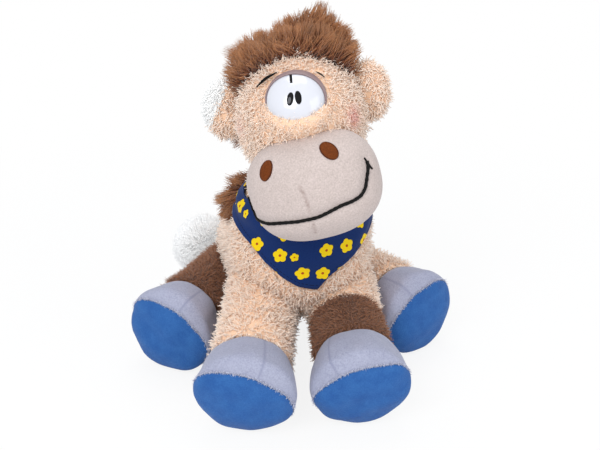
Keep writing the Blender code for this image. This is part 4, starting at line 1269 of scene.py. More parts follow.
OVER_PILE = 3.6
BROWS = {"brow_cord_left": (0.9, [(260.4, 89.7), (265.6, 84.0), (272.3, 79.2), (279.0, 76.0)]),
         "brow_cord_right": (0.5, [(314, 75), (318, 77), (322.5, 80.5)])}
brows = [threads(name, [raised(along_surface(head_tree, points, 24), OVER_PILE)], radius,
                 black_cord, brow_swell)
         for name, (radius, points) in BROWS.items()]
print(len(brows), "brow lines")

# %% [markdown]
# ## Ears
# Each ear is a plump pad of two panels, front and back, sewn round the edge.

# %% Ears
EAR_RADII = (13.5, 8.5, 20.0)
EAR_REACH = 48.5
EARS_ASIDE = -3.5
WHITE_PANEL = ("left", "back")
ears = {}
ear_places = {}
for side, sign in (("left", -1.0), ("right", 1.0)):
    middle = (sign * EAR_REACH + EARS_ASIDE, -8.0, 51.0)
    ear_place = head_place @ at(middle)
    ear_places[side] = ear_place
    ear = to_object("ear_" + side, ball(EAR_RADII, ear_place, 4))
    rim = np.exp(-(in_frame(ear_place, places_of(ear))[:, 1] / 1.6) ** 2)
    set_places(ear, places_of(ear) - normals_of(ear) * (rim * 0.8 * MM)[:, None])
    for half, sense in (("front", -1), ("back", 1)):
        shape = bmesh.new()
        shape.from_mesh(ear.data)
        halve(shape, ear_place @ (Vector((0, sense * SEAM_GAP / 2, 0)) * MM),
              ear_place.to_3x3() @ Vector((0, 1, 0)), half == "front")
        panel = to_object("ear_" + side + "_" + half + "_skin", shape)
        white = (side, half) == WHITE_PANEL
        panel.data.materials.append(white_ear_pile if white else tan_backing)
        ears[side, half] = panel
    bpy.data.objects.remove(ear, do_unlink=True)
print(len(ears), "ear panels")

# %% [markdown]
# ## Pile on the tan parts
# The curly acrylic has soft locks 5 to 8 mm long that lie in every direction and droop a little.
# The pink on the cheek is airbrushed on the pile, so it is a patch on the strands, not on the skin.

# %% Tan and brown short pile
BLUSH = [((352, 117), 6.5, 0.7), ((243, 127), 6.0, 0.3)]
blush_spots = [(on_surface(head_tree, *place)[0], size, depth) for place, size, depth in BLUSH]


def downward(points, normals):
    """The way that pile droops: down along the skin."""
    down = np.tile((0.0, 0.0, -1.0), (len(points), 1))
    return unit(down - normals * (down * normals).sum(axis=1, keepdims=True))


def add_blush(obj):
    """Stores how strongly each vertex was airbrushed pink."""
    points = places_of(obj)
    share = np.zeros(len(points))
    for spot, size, depth in blush_spots:
        gap = np.linalg.norm(points - np.array(spot), axis=1) / MM
        share = np.maximum(share, depth * np.exp(-(gap / size) ** 2))
    set_attribute(obj, "blush", share)


def in_leg(points, grow):
    """True where a point lies inside a leg."""
    inside = np.zeros(len(points), dtype=bool)
    for name, (leg, pivot, heading, inward) in LEGS.items():
        local = in_frame(leg_frame(name), points)
        marks = np.arange(0, leg["rim_at"], 4.0)
        radius = np.interp(local[:, 2], marks, [leg_radius(leg, d) for d in marks])
        inside |= ((local[:, 2] > 0) & (local[:, 2] < leg["rim_at"])
                   & (np.hypot(local[:, 0], local[:, 1]) < radius + grow))
    return inside


def in_ball(points, place, radii, grow):
    """True where a point lies inside a placed ellipsoid."""
    return ((in_frame(place, points) / (np.array(radii) + grow)) ** 2).sum(axis=1) < 1


PRESSED_FLAT = 2.0


def off_floor(points, normals):
    """Where pile can stand: not under the toy where it is pressed flat."""
    return (points[:, 2] > PRESSED_FLAT * MM) | (normals[:, 2] > -0.5)


TAN = {"length": 3.6, "width": 1.15, "comb": downward, "lean": 0.25, "bend": 0.55, "curl": 0.26,
       "turns": 0.9, "rings": 2, "spread": 0.85, "point": 0.4}
BROWN_SHORT = {"length": 3.4, "width": 0.9, "comb": downward, "lean": 0.4, "bend": 0.3,
               "curl": 0.1, "rings": 2, "spread": 0.4, "point": 0.25}
WHITE = {"length": 2.9, "width": 1.25, "comb": downward, "lean": 0.3, "bend": 0.25, "curl": 0.04,
         "rings": 2, "spread": 0.18, "point": 0.3}
TAN_PER_AREA = 0.56
BROWN_PER_AREA = 0.72
WHITE_PER_AREA = 1.6

# %% [markdown]
# ## Bandana
# A folded triangle of printed cotton lies over the pile on the chest and runs as a band round the
# neck. Each of its points is laid on the body by a ray in towards the neck's middle, which is
# steadier than a cloth simulation over thousands of strands. The chin comes down on it when the
# head nods, so its room under the muzzle is measured at every turn of the head.

# %% Where the bandana lies
BANDANA_TOP = 138.0
BAND_BOTTOM = 119.0
NAPE_RISE = 5.0
NECK_REACH = 50.0
HEM_REACH = 62.0
HEM = [(-62, 119), (-49.6, 110.9), (-38.4, 101.2), (-24.8, 92.4), (-11.2, 85.7), (5, 82),
       (12.4, 90.1), (26, 98.7), (42.2, 107.9), (62, 119)]
COLUMNS, ROWS = 150, 26
RAY_START = 90.0
FREE_REACH = 48.0
HEAD_TURN = math.radians(20)


def neck_middle(height):
    """The middle of the neck at a height."""
    share = (height - chest.z) / (HEAD_PIVOT[2] - chest.z)
    return Vector((HEAD_PIVOT[0] * share, chest.y + (HEAD_PIVOT[1] - chest.y) * share, height))


def laid(angle, height, lift):
    """A point of the body at an angle round the neck and a height, lifted off it."""
    middle = neck_middle(height) * MM
    out = Vector((math.sin(angle), -math.cos(angle), 0.0))
    start = middle + out * (RAY_START * MM)
    spot, normal, face, reach = body_tree.ray_cast(start, -out)
    if spot is None:
        return middle + out * (FREE_REACH * MM)
    return spot + (normal * 0.7 + out * 0.3).normalized() * (lift * MM)


neck_axis = neck_place.to_3x3() @ Vector((0, 0, 1))
head_turns = [nod @ turn_about(HEAD_PIVOT, side, neck_axis)
              for side in (-HEAD_TURN, 0.0, HEAD_TURN) for nod in nod_turns()]


def under_chin(point):
    """The least room, in millimetres, between a point and the muzzle at any turn of the head."""
    return min(outside(muzzle_tree, turn @ point) for turn in head_turns)


print("the chin's room is tried at", len(head_turns), "turns of the head")

# %% [markdown]
# ## Bandana's cloth
# The cloth starts as a flat grid, whose columns go round the neck and whose rows run from the top
# edge to the hem. Each point is lifted by the pile under it and by soft folds, and let down where
# the chin needs room. The flat grid becomes the UV map, so the print keeps its scale, and a
# Solidify modifier gives the cotton its thickness.

# %% Bandana
LOFT = 3.6
LEAST_LOFT = 0.6
LOFT_STEP = 0.3
CHIN_ROOM = 1.2
bandana_shape = bmesh.new()
uv_layer = bandana_shape.loops.layers.uv.new("cloth")
hem_layer = bandana_shape.loops.layers.uv.new("hem")
bmesh.ops.create_grid(bandana_shape, x_segments=COLUMNS, y_segments=ROWS, size=1.0)
flat_uv = {}
for vertex in bandana_shape.verts:
    share, fall = vertex.co.x, (1 - vertex.co.y) / 2
    angle = share * math.pi
    rise = NAPE_RISE * max(0.0, -math.cos(angle))
    upper = BANDANA_TOP + rise
    hem = BAND_BOTTOM + rise
    if abs(angle) < math.pi / 2:
        hem = float(np.interp(HEM_REACH * math.sin(angle), *zip(*HEM)))
    height = upper + (hem - upper) * fall
    side = min(1.0, abs(angle) / 1.4)
    folds = (0.9 * side * math.sin(fall * 9 + 2 * math.sin(angle))
             + 0.35 * math.sin(angle * 7 + fall * 4))
    hem_curl = 0.5 * math.exp(-((1 - fall) / 0.06) ** 2)
    lift = LOFT + folds + hem_curl
    while lift > LEAST_LOFT and under_chin(laid(angle, height, lift)) < CHIN_ROOM:
        lift -= LOFT_STEP
    vertex.co = laid(angle, height, lift)
    flat_uv[vertex] = (angle * NECK_REACH, -height, height - hem)
for face in bandana_shape.faces:
    for loop in face.loops:
        along, down, from_hem = [value * MM for value in flat_uv[loop.vert]]
        loop[uv_layer].uv = (along, down)
        loop[hem_layer].uv = (along, from_hem)
seam_verts = [v for v in bandana_shape.verts if v.is_boundary]
bmesh.ops.remove_doubles(bandana_shape, verts=seam_verts, dist=0.2 * MM)
inner_verts = [v for v in bandana_shape.verts if not v.is_boundary]
for step in range(2):
    bmesh.ops.smooth_vert(bandana_shape, verts=inner_verts, factor=0.5, use_axis_x=True,
                          use_axis_y=True, use_axis_z=True)
bmesh.ops.recalc_face_normals(bandana_shape, faces=bandana_shape.faces)
bandana = to_object("bandana_cloth", bandana_shape)
bandana_tree = tree_of(bandana)
solid = bandana.modifiers.new("cotton", "SOLIDIFY")
solid.thickness = 0.9 * MM
solid.offset = 0.0
apply_modifiers(bandana)

# %% [markdown]
# ## Printed cotton
# Plain-woven cotton is matt, with a fine weave of warp and weft. The print lies in the fibres and
# has no relief. A Voronoi pattern on the cloth's own map gives one flower to a cell: five petals in
# one of two sizes, turned by chance, with a dark rim and an orange heart.

# %% Flower print
FLOWER_SPACING = 16.5
SMALL_FLOWER, LARGE_FLOWER = 3.1, 5.2
PETALS = 5
FLOWER_RIM = 0.4
FLOWER_HEART = 0.19


def flower_print(tree, flat):
    """Draws the flowers on navy ground: the colour, the reach from a flower, and its rim."""
    cells = add(tree, "ShaderNodeTexVoronoi", {"Vector": flat.outputs["UV"], "Randomness": 0.62,
                                               "Scale": 1000 / FLOWER_SPACING},
                voronoi_dimensions="2D")
    offset = add(tree, "ShaderNodeVectorMath", {0: flat.outputs["UV"],
                                                1: cells.outputs["Position"]},
                 operation="SUBTRACT")
    axes = add(tree, "ShaderNodeSeparateXYZ", {"Vector": offset.outputs["Vector"]})
    chance = add(tree, "ShaderNodeSeparateColor", {"Color": cells.outputs["Color"]})
    reach = add(tree, "ShaderNodeVectorMath", {0: offset.outputs["Vector"]}, operation="LENGTH")
    angle = add(tree, "ShaderNodeMath", {0: axes.outputs["Y"], 1: axes.outputs["X"]},
                operation="ARCTAN2")
    turned = add(tree, "ShaderNodeMath", {0: chance.outputs["Green"], 1: 6.28, 2: angle.outputs[0]},
                 operation="MULTIPLY_ADD")
    petals = add(tree, "ShaderNodeMath", {0: turned.outputs[0], 1: PETALS / 2},
                 operation="MULTIPLY")
    wave = add(tree, "ShaderNodeMath", {0: petals.outputs[0]}, operation="COSINE")
    lobes = add(tree, "ShaderNodeMath", {0: wave.outputs[0]}, operation="ABSOLUTE")
    shape = add(tree, "ShaderNodeMapRange", {"Value": lobes.outputs[0], "To Min": 0.76,
                                             "To Max": 1.0})
    big = add(tree, "ShaderNodeMath", {0: chance.outputs["Red"], 1: 0.5}, operation="GREATER_THAN")
    size = add(tree, "ShaderNodeMapRange", {"Value": big.outputs[0], "To Min": SMALL_FLOWER * MM,
                                            "To Max": LARGE_FLOWER * MM})
    edge = add(tree, "ShaderNodeMath", {0: shape.outputs["Result"], 1: size.outputs["Result"]},
               operation="MULTIPLY")
    rim = add(tree, "ShaderNodeMath", {0: edge.outputs[0], 1: FLOWER_RIM * MM}, operation="ADD")
    heart = add(tree, "ShaderNodeMath", {0: size.outputs["Result"], 1: FLOWER_HEART},
                operation="MULTIPLY")
    weave = add(tree, "ShaderNodeTexNoise", {"Vector": flat.outputs["UV"], "Scale": 900.0})
    ground = add(tree, "ShaderNodeMix", {"Factor": weave.outputs["Fac"], "A": colour("#0A2355"),
                                         "B": colour("#112F66")}, data_type="RGBA")
    shown = ground.outputs["Result"]
    for limit, code in ((rim, "#14183A"), (edge, "#EAC812"), (heart, "#A8441A")):
        inside = add(tree, "ShaderNodeMath", {0: reach.outputs["Value"], 1: limit.outputs[0]},
                     operation="LESS_THAN")
        layer = add(tree, "ShaderNodeMix", {"Factor": inside.outputs[0], "A": shown,
                                            "B": colour(code)}, data_type="RGBA")
        shown = layer.outputs["Result"]
    return shown, reach.outputs["Value"], rim.outputs[0]


# %% [markdown]
# ## Weave and hem
# A dashed line of stitches runs along the hem, between the flowers. The weave is drawn coarser than
# it is, so that it shows.

# %% Printed cotton
HEM_SEAM, SEWING_THREAD = 2.8, 0.28
STITCH_PITCH, STITCH_LENGTH = 2.6, 1.7


def printed_cotton(name):
    """Plain-woven navy cotton with a scattered print of five-petalled yellow flowers."""
    material, tree, shader = new_material(name)
    flat = add(tree, "ShaderNodeUVMap", {}, uv_map="cloth")
    shown, reach, rim = flower_print(tree, flat)
    edge_map = add(tree, "ShaderNodeUVMap", {}, uv_map="hem")
    edges = add(tree, "ShaderNodeSeparateXYZ", {"Vector": edge_map.outputs["UV"]})
    row = add(tree, "ShaderNodeMath", {0: edges.outputs["Y"], 1: HEM_SEAM * MM,
                                       2: SEWING_THREAD * MM}, operation="COMPARE")
    step = add(tree, "ShaderNodeMath", {0: edges.outputs["X"], 1: STITCH_PITCH * MM},
               operation="MODULO")
    length = add(tree, "ShaderNodeMath", {0: step.outputs[0]}, operation="ABSOLUTE")
    dash = add(tree, "ShaderNodeMath", {0: length.outputs[0], 1: STITCH_LENGTH * MM},
               operation="LESS_THAN")
    plain = add(tree, "ShaderNodeMath", {0: reach, 1: rim}, operation="GREATER_THAN")
    shows = add(tree, "ShaderNodeMath", {0: dash.outputs[0], 1: plain.outputs[0]},
                operation="MULTIPLY")
    stitch = add(tree, "ShaderNodeMath", {0: row.outputs[0], 1: shows.outputs[0]},
                 operation="MULTIPLY")
    sewn = add(tree, "ShaderNodeMix", {"Factor": stitch.outputs[0], "A": shown,
                                       "B": colour("#0A1636")}, data_type="RGBA")
    warp, weft = [add(tree, "ShaderNodeTexWave", {"Vector": flat.outputs["UV"], "Scale": 400.0},
                      bands_direction=way) for way in "XY"]
    cross = add(tree, "ShaderNodeMath", {0: warp.outputs["Fac"], 1: weft.outputs["Fac"]},
                operation="MAXIMUM")
    bump = add(tree, "ShaderNodeBump", {"Height": cross.outputs[0], "Strength": 0.25,
                                        "Distance": 0.0003})
    fill(shader, {"Roughness": 0.85, "Specular IOR Level": 0.12, "Sheen Weight": 0.08,
                  "Base Color": sewn.outputs["Result"], "Normal": bump.outputs["Normal"]})
    return material


bandana.data.materials.append(printed_cotton("navy_printed_cotton"))
print("printed cotton:", len(bandana.data.materials[0].node_tree.nodes), "nodes")

# %% [markdown]
# ## Strands on every skin
# The same helper grows all the pile. What changes is length, curl and where it may stand: none
# where another piece is sewn on, where the bandana lies, or under the rump and hooves.

# %% Where short pile stands on the body
PRESSED_FROM, PRESSED_TO = 76, 148
CLOTH_GAP = 5.0
SEWN_GAP = 1.2
NECK_TOP = 135
PANEL_FACING = 0.995


def under_bandana(points):
    """True where the bandana presses the pile flat."""
    inside = np.zeros(len(points), dtype=bool)
    for index, point in enumerate(points):
        if PRESSED_FROM * MM < point[2] < PRESSED_TO * MM:
            inside[index] = bandana_tree.find_nearest(Vector(point))[3] < CLOTH_GAP * MM
    return inside


def nod_room(points, highest=12.0):
    """The least room, in millimetres, between low points of the head and the body in any nod."""
    low = in_frame(cranium_place, points)[:, 2] < highest
    room = np.full(len(points), FAR)
    for turn in nod_turns():
        for index in np.flatnonzero(low):
            room[index] = min(room[index], outside(body_tree, turn @ Vector(points[index])))
    return room


def body_keep(points, normals):
    """Where the body has free pile."""
    stays = off_floor(points, normals) & ~in_leg(points, 1.0) & ~under_bandana(points)
    return stays & ~in_ball(points, cranium_place, CRANIUM_RADII, -10.0)


def body_length(points, normals):
    """Pile lies shorter at the top of the neck, where the head passes close in a nod."""
    factor = np.ones(len(points))
    for turn in nod_turns():
        for index in np.flatnonzero(points[:, 2] > NECK_TOP * MM):
            gap = head_tree.find_nearest(turn @ Vector(points[index]))[3] / MM
            factor[index] = min(factor[index], max(0.3, (gap - 0.4) / TAN["length"]))
    return factor


# %% [markdown]
# ## Pile round the eye and by the ears
# Head pile stops at the muzzle, the eye and the hair's ground, and is clipped short where an ear
# flops or the neck passes. A leg's pile stops where its sleeve is inside the torso, and an ear's
# where its two panels meet.

# %% Where short pile stands on head, legs and ears
def by_ear(points, grow):
    """True where a point lies in the room that an ear needs to flop."""
    inside = np.zeros(len(points), dtype=bool)
    for place in ear_places.values():
        inside |= in_ball(points, place, EAR_RADII, grow)
    return inside


def head_keep(points, normals):
    """Where the head has short pile: not on muzzle, eye or the hair's ground."""
    local = in_frame(cranium_place, points)
    eye, gap = round_eye(points)
    near_eye = (gap < np.where(eye[:, 1] > 0, 3.4, -6.0)) & (eye[:, 2] > -16)
    surface = ((local / np.array(CRANIUM_RADII)) ** 2).sum(axis=1) > 0.9
    hair_ground = (local[:, 1] > 14) | ((local[:, 1] > 1) & (local[:, 2] > 18))
    return (surface & ~near_eye & ~hair_ground & ~by_ear(points, 2.5)
            & ~in_ball(points, muzzle_place, MUZZLE_RADII, 0.2))


def head_comb(points, normals):
    """Pile droops, and leans over the foot of the eye beside it."""
    eye, gap = round_eye(points)
    share = (np.exp(-(gap / 6.0) ** 2) * (eye[:, 1] < 6) * (eye[:, 2] > -20))[:, None]
    towards = unit(np.array(eye_place.translation)[None, :] - points)
    return unit(downward(points, normals) * (1 - share) + towards * share * 2.0)


def head_length(points, normals):
    """Pile is clipped short round the eye, by the ears and over the neck."""
    eye, gap = round_eye(points)
    clipped = 1.0 - 0.45 * np.exp(-(gap / 4.5) ** 2) * (eye[:, 2] > -20)
    clipped *= np.where(by_ear(points, 7.0), 0.5, 1.0)
    return clipped * np.clip((nod_room(points, -8.0) - 3.0) / 4.0, 0.35, 1.0)


def leg_keep(points, normals):
    """Where a sleeve has pile: off the floor and outside the torso."""
    inside = np.array([body_tree.find_nearest(Vector(p))[3] < SEWN_GAP * MM for p in points])
    return off_floor(points, normals) & ~inside


def ear_keep(points, normals):
    """No pile on the flat faces where the two panels meet."""
    facing = np.abs(normals @ np.array(head_place.to_3x3() @ Vector((0, 1, 0))))
    return facing < PANEL_FACING


def white_rim(points, normals):
    """Where the white fur of the left ear's back laps over its outer rim to the front."""
    local = in_frame(ear_places["left"], points) / np.array(EAR_RADII)
    outer = -local[:, 0] * 0.75 + local[:, 2] * 0.65
    return (outer > 0.32) & ear_keep(points, normals)


def tan_front(points, normals):
    """Where the left ear's front keeps tan pile."""
    return ear_keep(points, normals) & ~white_rim(points, normals)


# %% [markdown]
# ## Growing the short pile
# Each skin gets its pile by area, in as many pieces as keep each of them small enough to export
# whole. The white fur of the left ear's back laps round its rim to the front, so that skin has two
# colours and grows both kinds.

# %% Short pile on body, head, ears and legs
MOST_STRANDS = 9500 * 1.15


def covered(name, skin, per_area, seed, keep, finish, style):
    """Grows pile on a skin, in as many pieces as keep each of them small."""
    count = int(area_of(skin) * per_area * DENSITY)
    parts = max(1, math.ceil(count / MOST_STRANDS))
    made = []
    for part in range(parts):
        ending = "" if parts == 1 else "_" + str(part + 1)
        fur = pile(name + ending, skin, count // parts, seed=seed + part * 100, keep=keep, **style)
        fur.data.materials.append(finish)
        add_blush(fur)
        made.append(fur)
    return made


body_furs = covered("body_pile", body, TAN_PER_AREA, 3, body_keep, tan_pile,
                    dict(TAN, more=body_length))
head_furs = covered("head_pile", head, 0.9, 4, head_keep, tan_pile,
                    dict(TAN, comb=head_comb, length=3.5, width=0.95, rings=3, turns=1.3,
                         curl=0.32, spread=0.9, more=head_length))
ear_furs = {}
for (side, half), ear in ears.items():
    keep = tan_front if (side, half) == ("left", "front") else ear_keep
    per_area, finish, style = 0.95, tan_pile, dict(TAN, length=3.2)
    if (side, half) == WHITE_PANEL:
        per_area, finish, style = WHITE_PER_AREA, white_ear_pile, WHITE
    ear_furs[side, half] = covered("ear_" + side + "_" + half + "_pile", ear, per_area,
                                   5 + len(ear_furs), keep, finish, style)
lapped = ears["left", "front"]
lapped.data.materials.append(white_ear_pile)
middles = np.array([face.center[:] for face in lapped.data.polygons])
facings = np.array([face.normal[:] for face in lapped.data.polygons])
for face, white in zip(lapped.data.polygons, white_rim(middles, facings)):
    face.material_index = int(white)
ear_furs[WHITE_PANEL] += covered("ear_left_rim_pile", lapped, WHITE_PER_AREA, 9, white_rim,
                                 white_ear_pile, WHITE)
leg_furs = {}
for (leg_name, part_name), sleeve in sleeves.items():
    per_area, finish, style = TAN_PER_AREA, tan_pile, TAN
    if (leg_name, part_name) in BROWN:
        per_area, finish, style = BROWN_PER_AREA, brown_pile, BROWN_SHORT
    if leg_name == "hindleg_left":
        style = dict(style, length=3.8)
    leg_furs[leg_name, part_name] = covered(leg_name + "_" + part_name + "_pile", sleeve, per_area,
                                            11 + len(leg_furs), leg_keep, finish, style)

# %% [markdown]
# ## Long fur
# Hair, mane and tail are long brushed fur that stands off in locks. Each grows from a smaller core
# of the same colour, so that nothing shows between the strands.

# %% Cores of hair, mane and tail
HAIR = (-1.0, 4.0, 60.0)
MANE = (-24.0, -66.0, 114.0)
MANE_CORE = (20.0, 15.0, 21.0)
TAIL_PIVOT = (-12.0, 55.0, 39.0)
TAIL_HEADING = math.radians(-62.0)
TUFT_CORE = (15.5, 15.5, 19.5)
TUFT_REACH = 24.0
TUFT_AT = 54.0
tail_way = Vector((math.sin(TAIL_HEADING), -math.cos(TAIL_HEADING), 0.0))
tail_place = axis_frame(TAIL_PIVOT, tail_way, (0, 0, -1))
hair_place = head_place @ at(HAIR)
mane_place = at(MANE)
tuft_place = tail_place @ at((0, 0, TUFT_AT))

back_cap = ball([r + 0.7 for r in CRANIUM_RADII], cranium_place, 5)
bmesh.ops.bisect_plane(back_cap, geom=whole_of(back_cap), clear_outer=True,
                       plane_co=cranium_place @ (Vector((0, 8, 0)) * MM),
                       plane_no=(head_place.to_3x3() @ Vector((0, -1, -0.5))).normalized())
bmesh.ops.holes_fill(back_cap, edges=[e for e in back_cap.edges if e.is_boundary], sides=0)
TUFTS = [((0, 0, 0), (27, 22, 24)), ((11, 0, 14), (19, 18, 20)), ((-20, -2, 8), (15, 16, 15))]
hair_core = to_object("hair_ground", back_cap,
                      *[ball(radii, hair_place @ at(spot), 4) for spot, radii in TUFTS])
resurface(hair_core, 2.5, easing=2)
cut(hair_core, neck_room("neck_room"))
room = nod_room(places_of(hair_core))
set_places(hair_core, places_of(hair_core)
           - normals_of(hair_core) * (np.clip(2.0 - room, 0.0, 6.0) * MM)[:, None])
print("hair's least room over the body in a nod:", round(float(room.min()), 1), "mm")
mane_core = to_object("mane_ground", ball(MANE_CORE, mane_place, 4))
tuft_core = to_object("tail_tuft_ground", ball(TUFT_CORE, tuft_place, 4))
tail_core = to_object("tail_root_ground", spun(arc(0, 7, 7, -90, 0, 6) + arc(40, 7, 7, 0, 90, 6),
                                               tail_place, 24))
for obj, finish in ((hair_core, hair_pile), (mane_core, hair_pile), (tuft_core, white_pile),
                    (tail_core, hair_pile)):
    obj.data.materials.append(finish)


# %% [markdown]
# ## Combing the long fur
# Long fur takes its look from how it is brushed. Each rule below gives the way or the length of the
# strands by where they root: hair sweeps up off the crown and falls at the back, the mane droops to
# the side, and the tail's tuft points away from its root. At the nape the hair is short, where a
# nod brings it close to the neck.

# %% How long fur lies
def hair_comb(points, normals):
    """Hair sweeps up and outwards off the crown, and falls at the back."""
    local = in_frame(cranium_place, points)
    up = np.clip((local[:, 2] + 5) / 45, 0, 1)[:, None]
    side = np.clip(local[:, 0] / 55, -0.6, 0.25)[:, None]
    rise = np.concatenate([side + 0.06, np.full_like(side, 0.1), np.ones_like(side)], axis=1)
    fall = np.array((0.0, 0.55, -0.9))
    return unit(rise * up + fall * (1 - up))


def mane_comb(points, normals):
    """The mane sticks out to the side and droops."""
    return unit(np.tile((-0.8, 0.25, -0.55), (len(points), 1)))


def tuft_comb(points, normals):
    """The tuft is brushed away from the tail's root."""
    return np.tile(tail_way[:], (len(points), 1))


def tuft_length(points, normals):
    """The tuft is fullest round its middle and clipped shorter at its far end."""
    along = (points - np.array(tuft_place.translation)) @ np.array(tail_way) / (TUFT_REACH * MM)
    return 1.05 - 0.5 * np.clip(along, 0.0, 1.0)


def outside_head(points, normals):
    """Where hair may root: not inside the head, against the neck or on an ear."""
    in_head = in_ball(points, cranium_place, CRANIUM_RADII, -1.0)
    return ~in_head & (nod_room(points) > 1.0) & ~by_ear(points, 8.0)


def outside_body(points, normals):
    """Where mane and tail may root: outside the body skin."""
    out = []
    for point in points:
        spot, normal, face, reach = body_tree.find_nearest(Vector(point))
        out.append((Vector(point) - spot).dot(normal) > -1.0 * MM)
    return np.array(out)


def hair_length(points, normals):
    """Hair is longest beside the crown's middle, as in the picture, and short far to the right."""
    across = in_frame(cranium_place, points)[:, 0]
    right = np.clip((across - 2) / 20, 0, 1)
    left = np.clip((-across - 16) / 14, 0, 1)
    far_right = np.clip((across - 26) / 14, 0, 1)
    nape = np.clip((nod_room(points) - 3.0) / 17.0, 0.12, 1.0)
    return (0.8 + 0.14 * right + 0.12 * left - 0.28 * far_right) * nape


def nape_length(points, normals):
    """The undercoat is clipped short at the nape, where a nod brings it to the neck."""
    return np.clip((nod_room(points) - 5.0) / 11.0, 0.1, 1.0)


# %% [markdown]
# ## Growing the long fur
# Brushed acrylic fur gathers in pointed locks, more in the mane than in the tail. Hair also has a
# short, loose undercoat, which keeps its ground from showing between the locks.

# %% Hair, mane and tail
def locks(count, least):
    """How many locks the strands gather into."""
    return int(count * DENSITY) + least


HAIR_STYLE = {"length": 17.5, "width": 1.1, "comb": hair_comb, "lean": 0.55, "bend": 0.22,
              "curl": 0.04, "clump": 0.72, "rings": 3, "spread": 0.32, "vary": 0.28,
              "locks": locks(240, 10), "lock_seed": 30, "keep": outside_head, "more": hair_length,
              "point": 0.1}
UNDERCOAT = {"length": 10.5, "width": 1.3, "keep": outside_head, "more": nape_length,
             "comb": hair_comb, "lean": 0.35, "bend": 0.3, "curl": 0.08, "rings": 2, "spread": 0.5,
             "point": 0.15}
MANE_STYLE = {"length": 14.0, "width": 1.0, "keep": outside_body, "comb": mane_comb, "lean": 0.35,
              "bend": 0.25, "curl": 0.04, "clump": 0.84, "locks": locks(90, 8), "rings": 3,
              "spread": 0.3, "vary": 0.4, "point": 0.1}
TUFT_STYLE = {"length": 10.0, "width": 1.2, "more": tuft_length, "comb": tuft_comb, "lean": 0.15,
              "bend": 0.1, "curl": 0.05, "clump": 0.4, "locks": locks(350, 8), "rings": 2,
              "spread": 0.35}
ROOT_STYLE = {"length": 8.0, "width": 1.1, "keep": outside_body, "comb": tuft_comb, "lean": 0.45,
              "bend": 0.3, "curl": 0.06, "clump": 0.4, "locks": locks(120, 8), "rings": 2,
              "spread": 0.35}
long_furs = {"hair": [], "mane": [], "tail_tuft": [], "tail_root": []}
for node, name, core, count, seed, style in (
        ("hair", "hair_pile_1", hair_core, 8800, 31, HAIR_STYLE),
        ("hair", "hair_pile_2", hair_core, 8800, 32, HAIR_STYLE),
        ("hair", "hair_undercoat", hair_core, 7000, 36, UNDERCOAT),
        ("mane", "mane_pile", mane_core, 9000, 41, MANE_STYLE),
        ("tail_tuft", "tail_tuft_pile", tuft_core, 8000, 42, TUFT_STYLE),
        ("tail_root", "tail_root_pile", tail_core, 3200, 43, ROOT_STYLE)):
    fur = pile(name, core, int(count * DENSITY), seed=seed, **style)
    fur.data.materials.append(white_pile if node == "tail_tuft" else hair_pile)
    long_furs[node].append(fur)

# %% [markdown]
# ## What moves with what
# Each piece stands for the CAD nodes that it covers. Leg sleeves and their pile stay fixed where
# they were made, and every other piece rides on a body of the frame. Head, ears and tail turn as
# they are, because their roots move inside the pile.

# %% Riding and replacing
BEND_SHORT = 8.0


def carry(pieces, body_name, nodes=()):
    """Lets pieces ride on a body and stand for the nodes that they cover."""
    for obj in pieces:
        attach(obj, body_name)
        if nodes:
            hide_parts(*nodes)


carry([body], "torso",
      ("torso_cover", "torso_fill", "seat_pellet_bag", "neck_cover", "neck_fill"))
carry(body_furs, "torso")
carry([bandana], "torso", ["bandana"])
carry([mane_core] + long_furs["mane"], "torso", ["mane"])
carry([head], "head", ["head_cover", "head_fill"])
carry(head_furs, "head")
carry(brows, "head")
carry([muzzle], "head", ["muzzle_cover"])
carry([mouth], "head", ["mouth_stitch"])
carry([tick], "head")
for name, (satin, outline) in nostrils.items():
    carry([satin], "head", [name])
    carry([outline], "head")
carry([dome], "head", ["eye_dome"])
carry([lid], "head", ["eye_lid"])
carry(pupils, "head")
carry([hair_core] + long_furs["hair"], "head", ["hair"])
for (side, half), ear in ears.items():
    carry([ear], "ear_" + side, ["ear_" + side + "_" + half])
    carry(ear_furs[side, half], "ear_" + side)
for (leg_name, part_name), sleeve in sleeves.items():
    leg, pivot, heading, inward = LEGS[leg_name]
    way = leg_direction(leg, heading)
    first = Vector(pivot) + way * leg["bends_from"]
    last = Vector(pivot) + way * (leg["cuff_at"] - BEND_SHORT)
    for obj in [sleeve] + leg_furs[leg_name, part_name]:
        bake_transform(obj)
    filling = [leg_name + "_fill"] if part_name == "cover" else []
    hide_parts(leg_name + "_" + part_name, *filling)
for (leg_name, part_name), half in hooves.items():
    carry([half], leg_name, [leg_name + "_" + part_name])
for leg_name, fray in frays.items():
    carry([fray], leg_name)
carry([tuft_core] + long_furs["tail_tuft"], "tail", ["tail_tuft"])
carry([tail_core] + long_furs["tail_root"], "tail", ["tail_root"])

neck_skin = to_object("neck_joint_skin", ball((27.5, 27.5, 27.5), at(HEAD_PIVOT), 4))
neck_skin.data.materials.append(tan_backing)
carry([neck_skin], "neck_ball", ["neck_ball"])
carry(covered("neck_joint_pile", neck_skin, 0.3, 51, None, tan_pile,
              dict(TAN, length=3.0, lean=0.45)), "neck_ball")
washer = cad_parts["eye_washer"]
washer.data.materials.clear()
washer.data.materials.append(plastic("moulded_natural_nylon", "#E4E2DA", 0.4, 0.1))

# %% [markdown]
# ## Floor and light
# A studio picture on white: large soft lamps from the front and a bright, even world. The floor and
# the world are white to the camera, and the floor keeps a faint shadow under the toy.

# %% Floor and light
def area_lamp(name, place, size, power):
    """A large soft square lamp that points at the toy."""
    data = bpy.data.lights.new(name, "AREA")
    data.shape = "SQUARE"
    data.size = size
    data.energy = power
    lamp = new_object(name, data)
    lamp.location = place
    lamp.rotation_euler = (Vector(place) - AIM).to_track_quat("Z", "Y").to_euler()


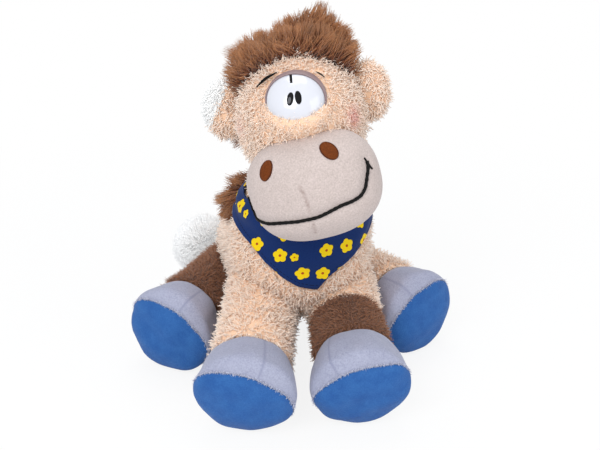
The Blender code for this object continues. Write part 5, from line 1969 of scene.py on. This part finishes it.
area_lamp("key_lamp", (-0.7, -1.1, 1.1), 0.8, 13.6)
area_lamp("fill_lamp", (0.9, -0.9, 0.6), 0.9, 4.4)
area_lamp("top_lamp", (0.0, 0.3, 1.4), 0.8, 5.0)
print(len(bpy.data.lights), "lamps")

world = bpy.data.worlds.new("studio")
scene.world = world
world.use_nodes = True
tree = world.node_tree
tree.nodes.clear()
path = add(tree, "ShaderNodeLightPath", {})
shown = add(tree, "ShaderNodeMath", {0: path.outputs["Is Camera Ray"],
                                     1: path.outputs["Is Glossy Ray"]}, operation="MAXIMUM")
lit = add(tree, "ShaderNodeBackground", {"Color": (0.9, 0.95, 1.0, 1.0), "Strength": 0.58})
seen = add(tree, "ShaderNodeBackground", {"Color": (1.0, 1.0, 1.0, 1.0), "Strength": 1.0})
both = add(tree, "ShaderNodeMixShader", {0: shown.outputs[0], 1: lit.outputs[0],
                                         2: seen.outputs[0]})
add(tree, "ShaderNodeOutputWorld", {"Surface": both.outputs[0]})

floor_shape = bmesh.new()
bmesh.ops.create_grid(floor_shape, x_segments=1, y_segments=1, size=4.0)
floor = to_object("floor", floor_shape)
floor.location.z = -0.0002
paper, tree, shader = new_material("white_paper_sweep")
fill(shader, {"Base Color": colour("#F4F4F4"), "Roughness": 0.9})
path = add(tree, "ShaderNodeLightPath", {})
white = add(tree, "ShaderNodeEmission", {"Color": (1.0, 1.0, 1.0, 1.0), "Strength": 1.0})
space = add(tree, "ShaderNodeTexCoord", {})
apart = add(tree, "ShaderNodeVectorMath", {0: space.outputs["Object"]}, operation="LENGTH")
fade = add(tree, "ShaderNodeMapRange", {"Value": apart.outputs["Value"], "From Min": 0.12,
                                        "From Max": 0.45, "To Min": 0.86, "To Max": 1.0})
share = add(tree, "ShaderNodeMath", {0: path.outputs["Is Camera Ray"],
                                     1: fade.outputs["Result"]}, operation="MULTIPLY")
blended = add(tree, "ShaderNodeMixShader", {0: share.outputs[0], 1: shader.outputs[0],
                                            2: white.outputs[0]})
output = next(item for item in tree.nodes if item.type == "OUTPUT_MATERIAL")
fill(output, {"Surface": blended.outputs[0]})
floor.data.materials.append(paper)
scene.view_settings.view_transform = "Standard"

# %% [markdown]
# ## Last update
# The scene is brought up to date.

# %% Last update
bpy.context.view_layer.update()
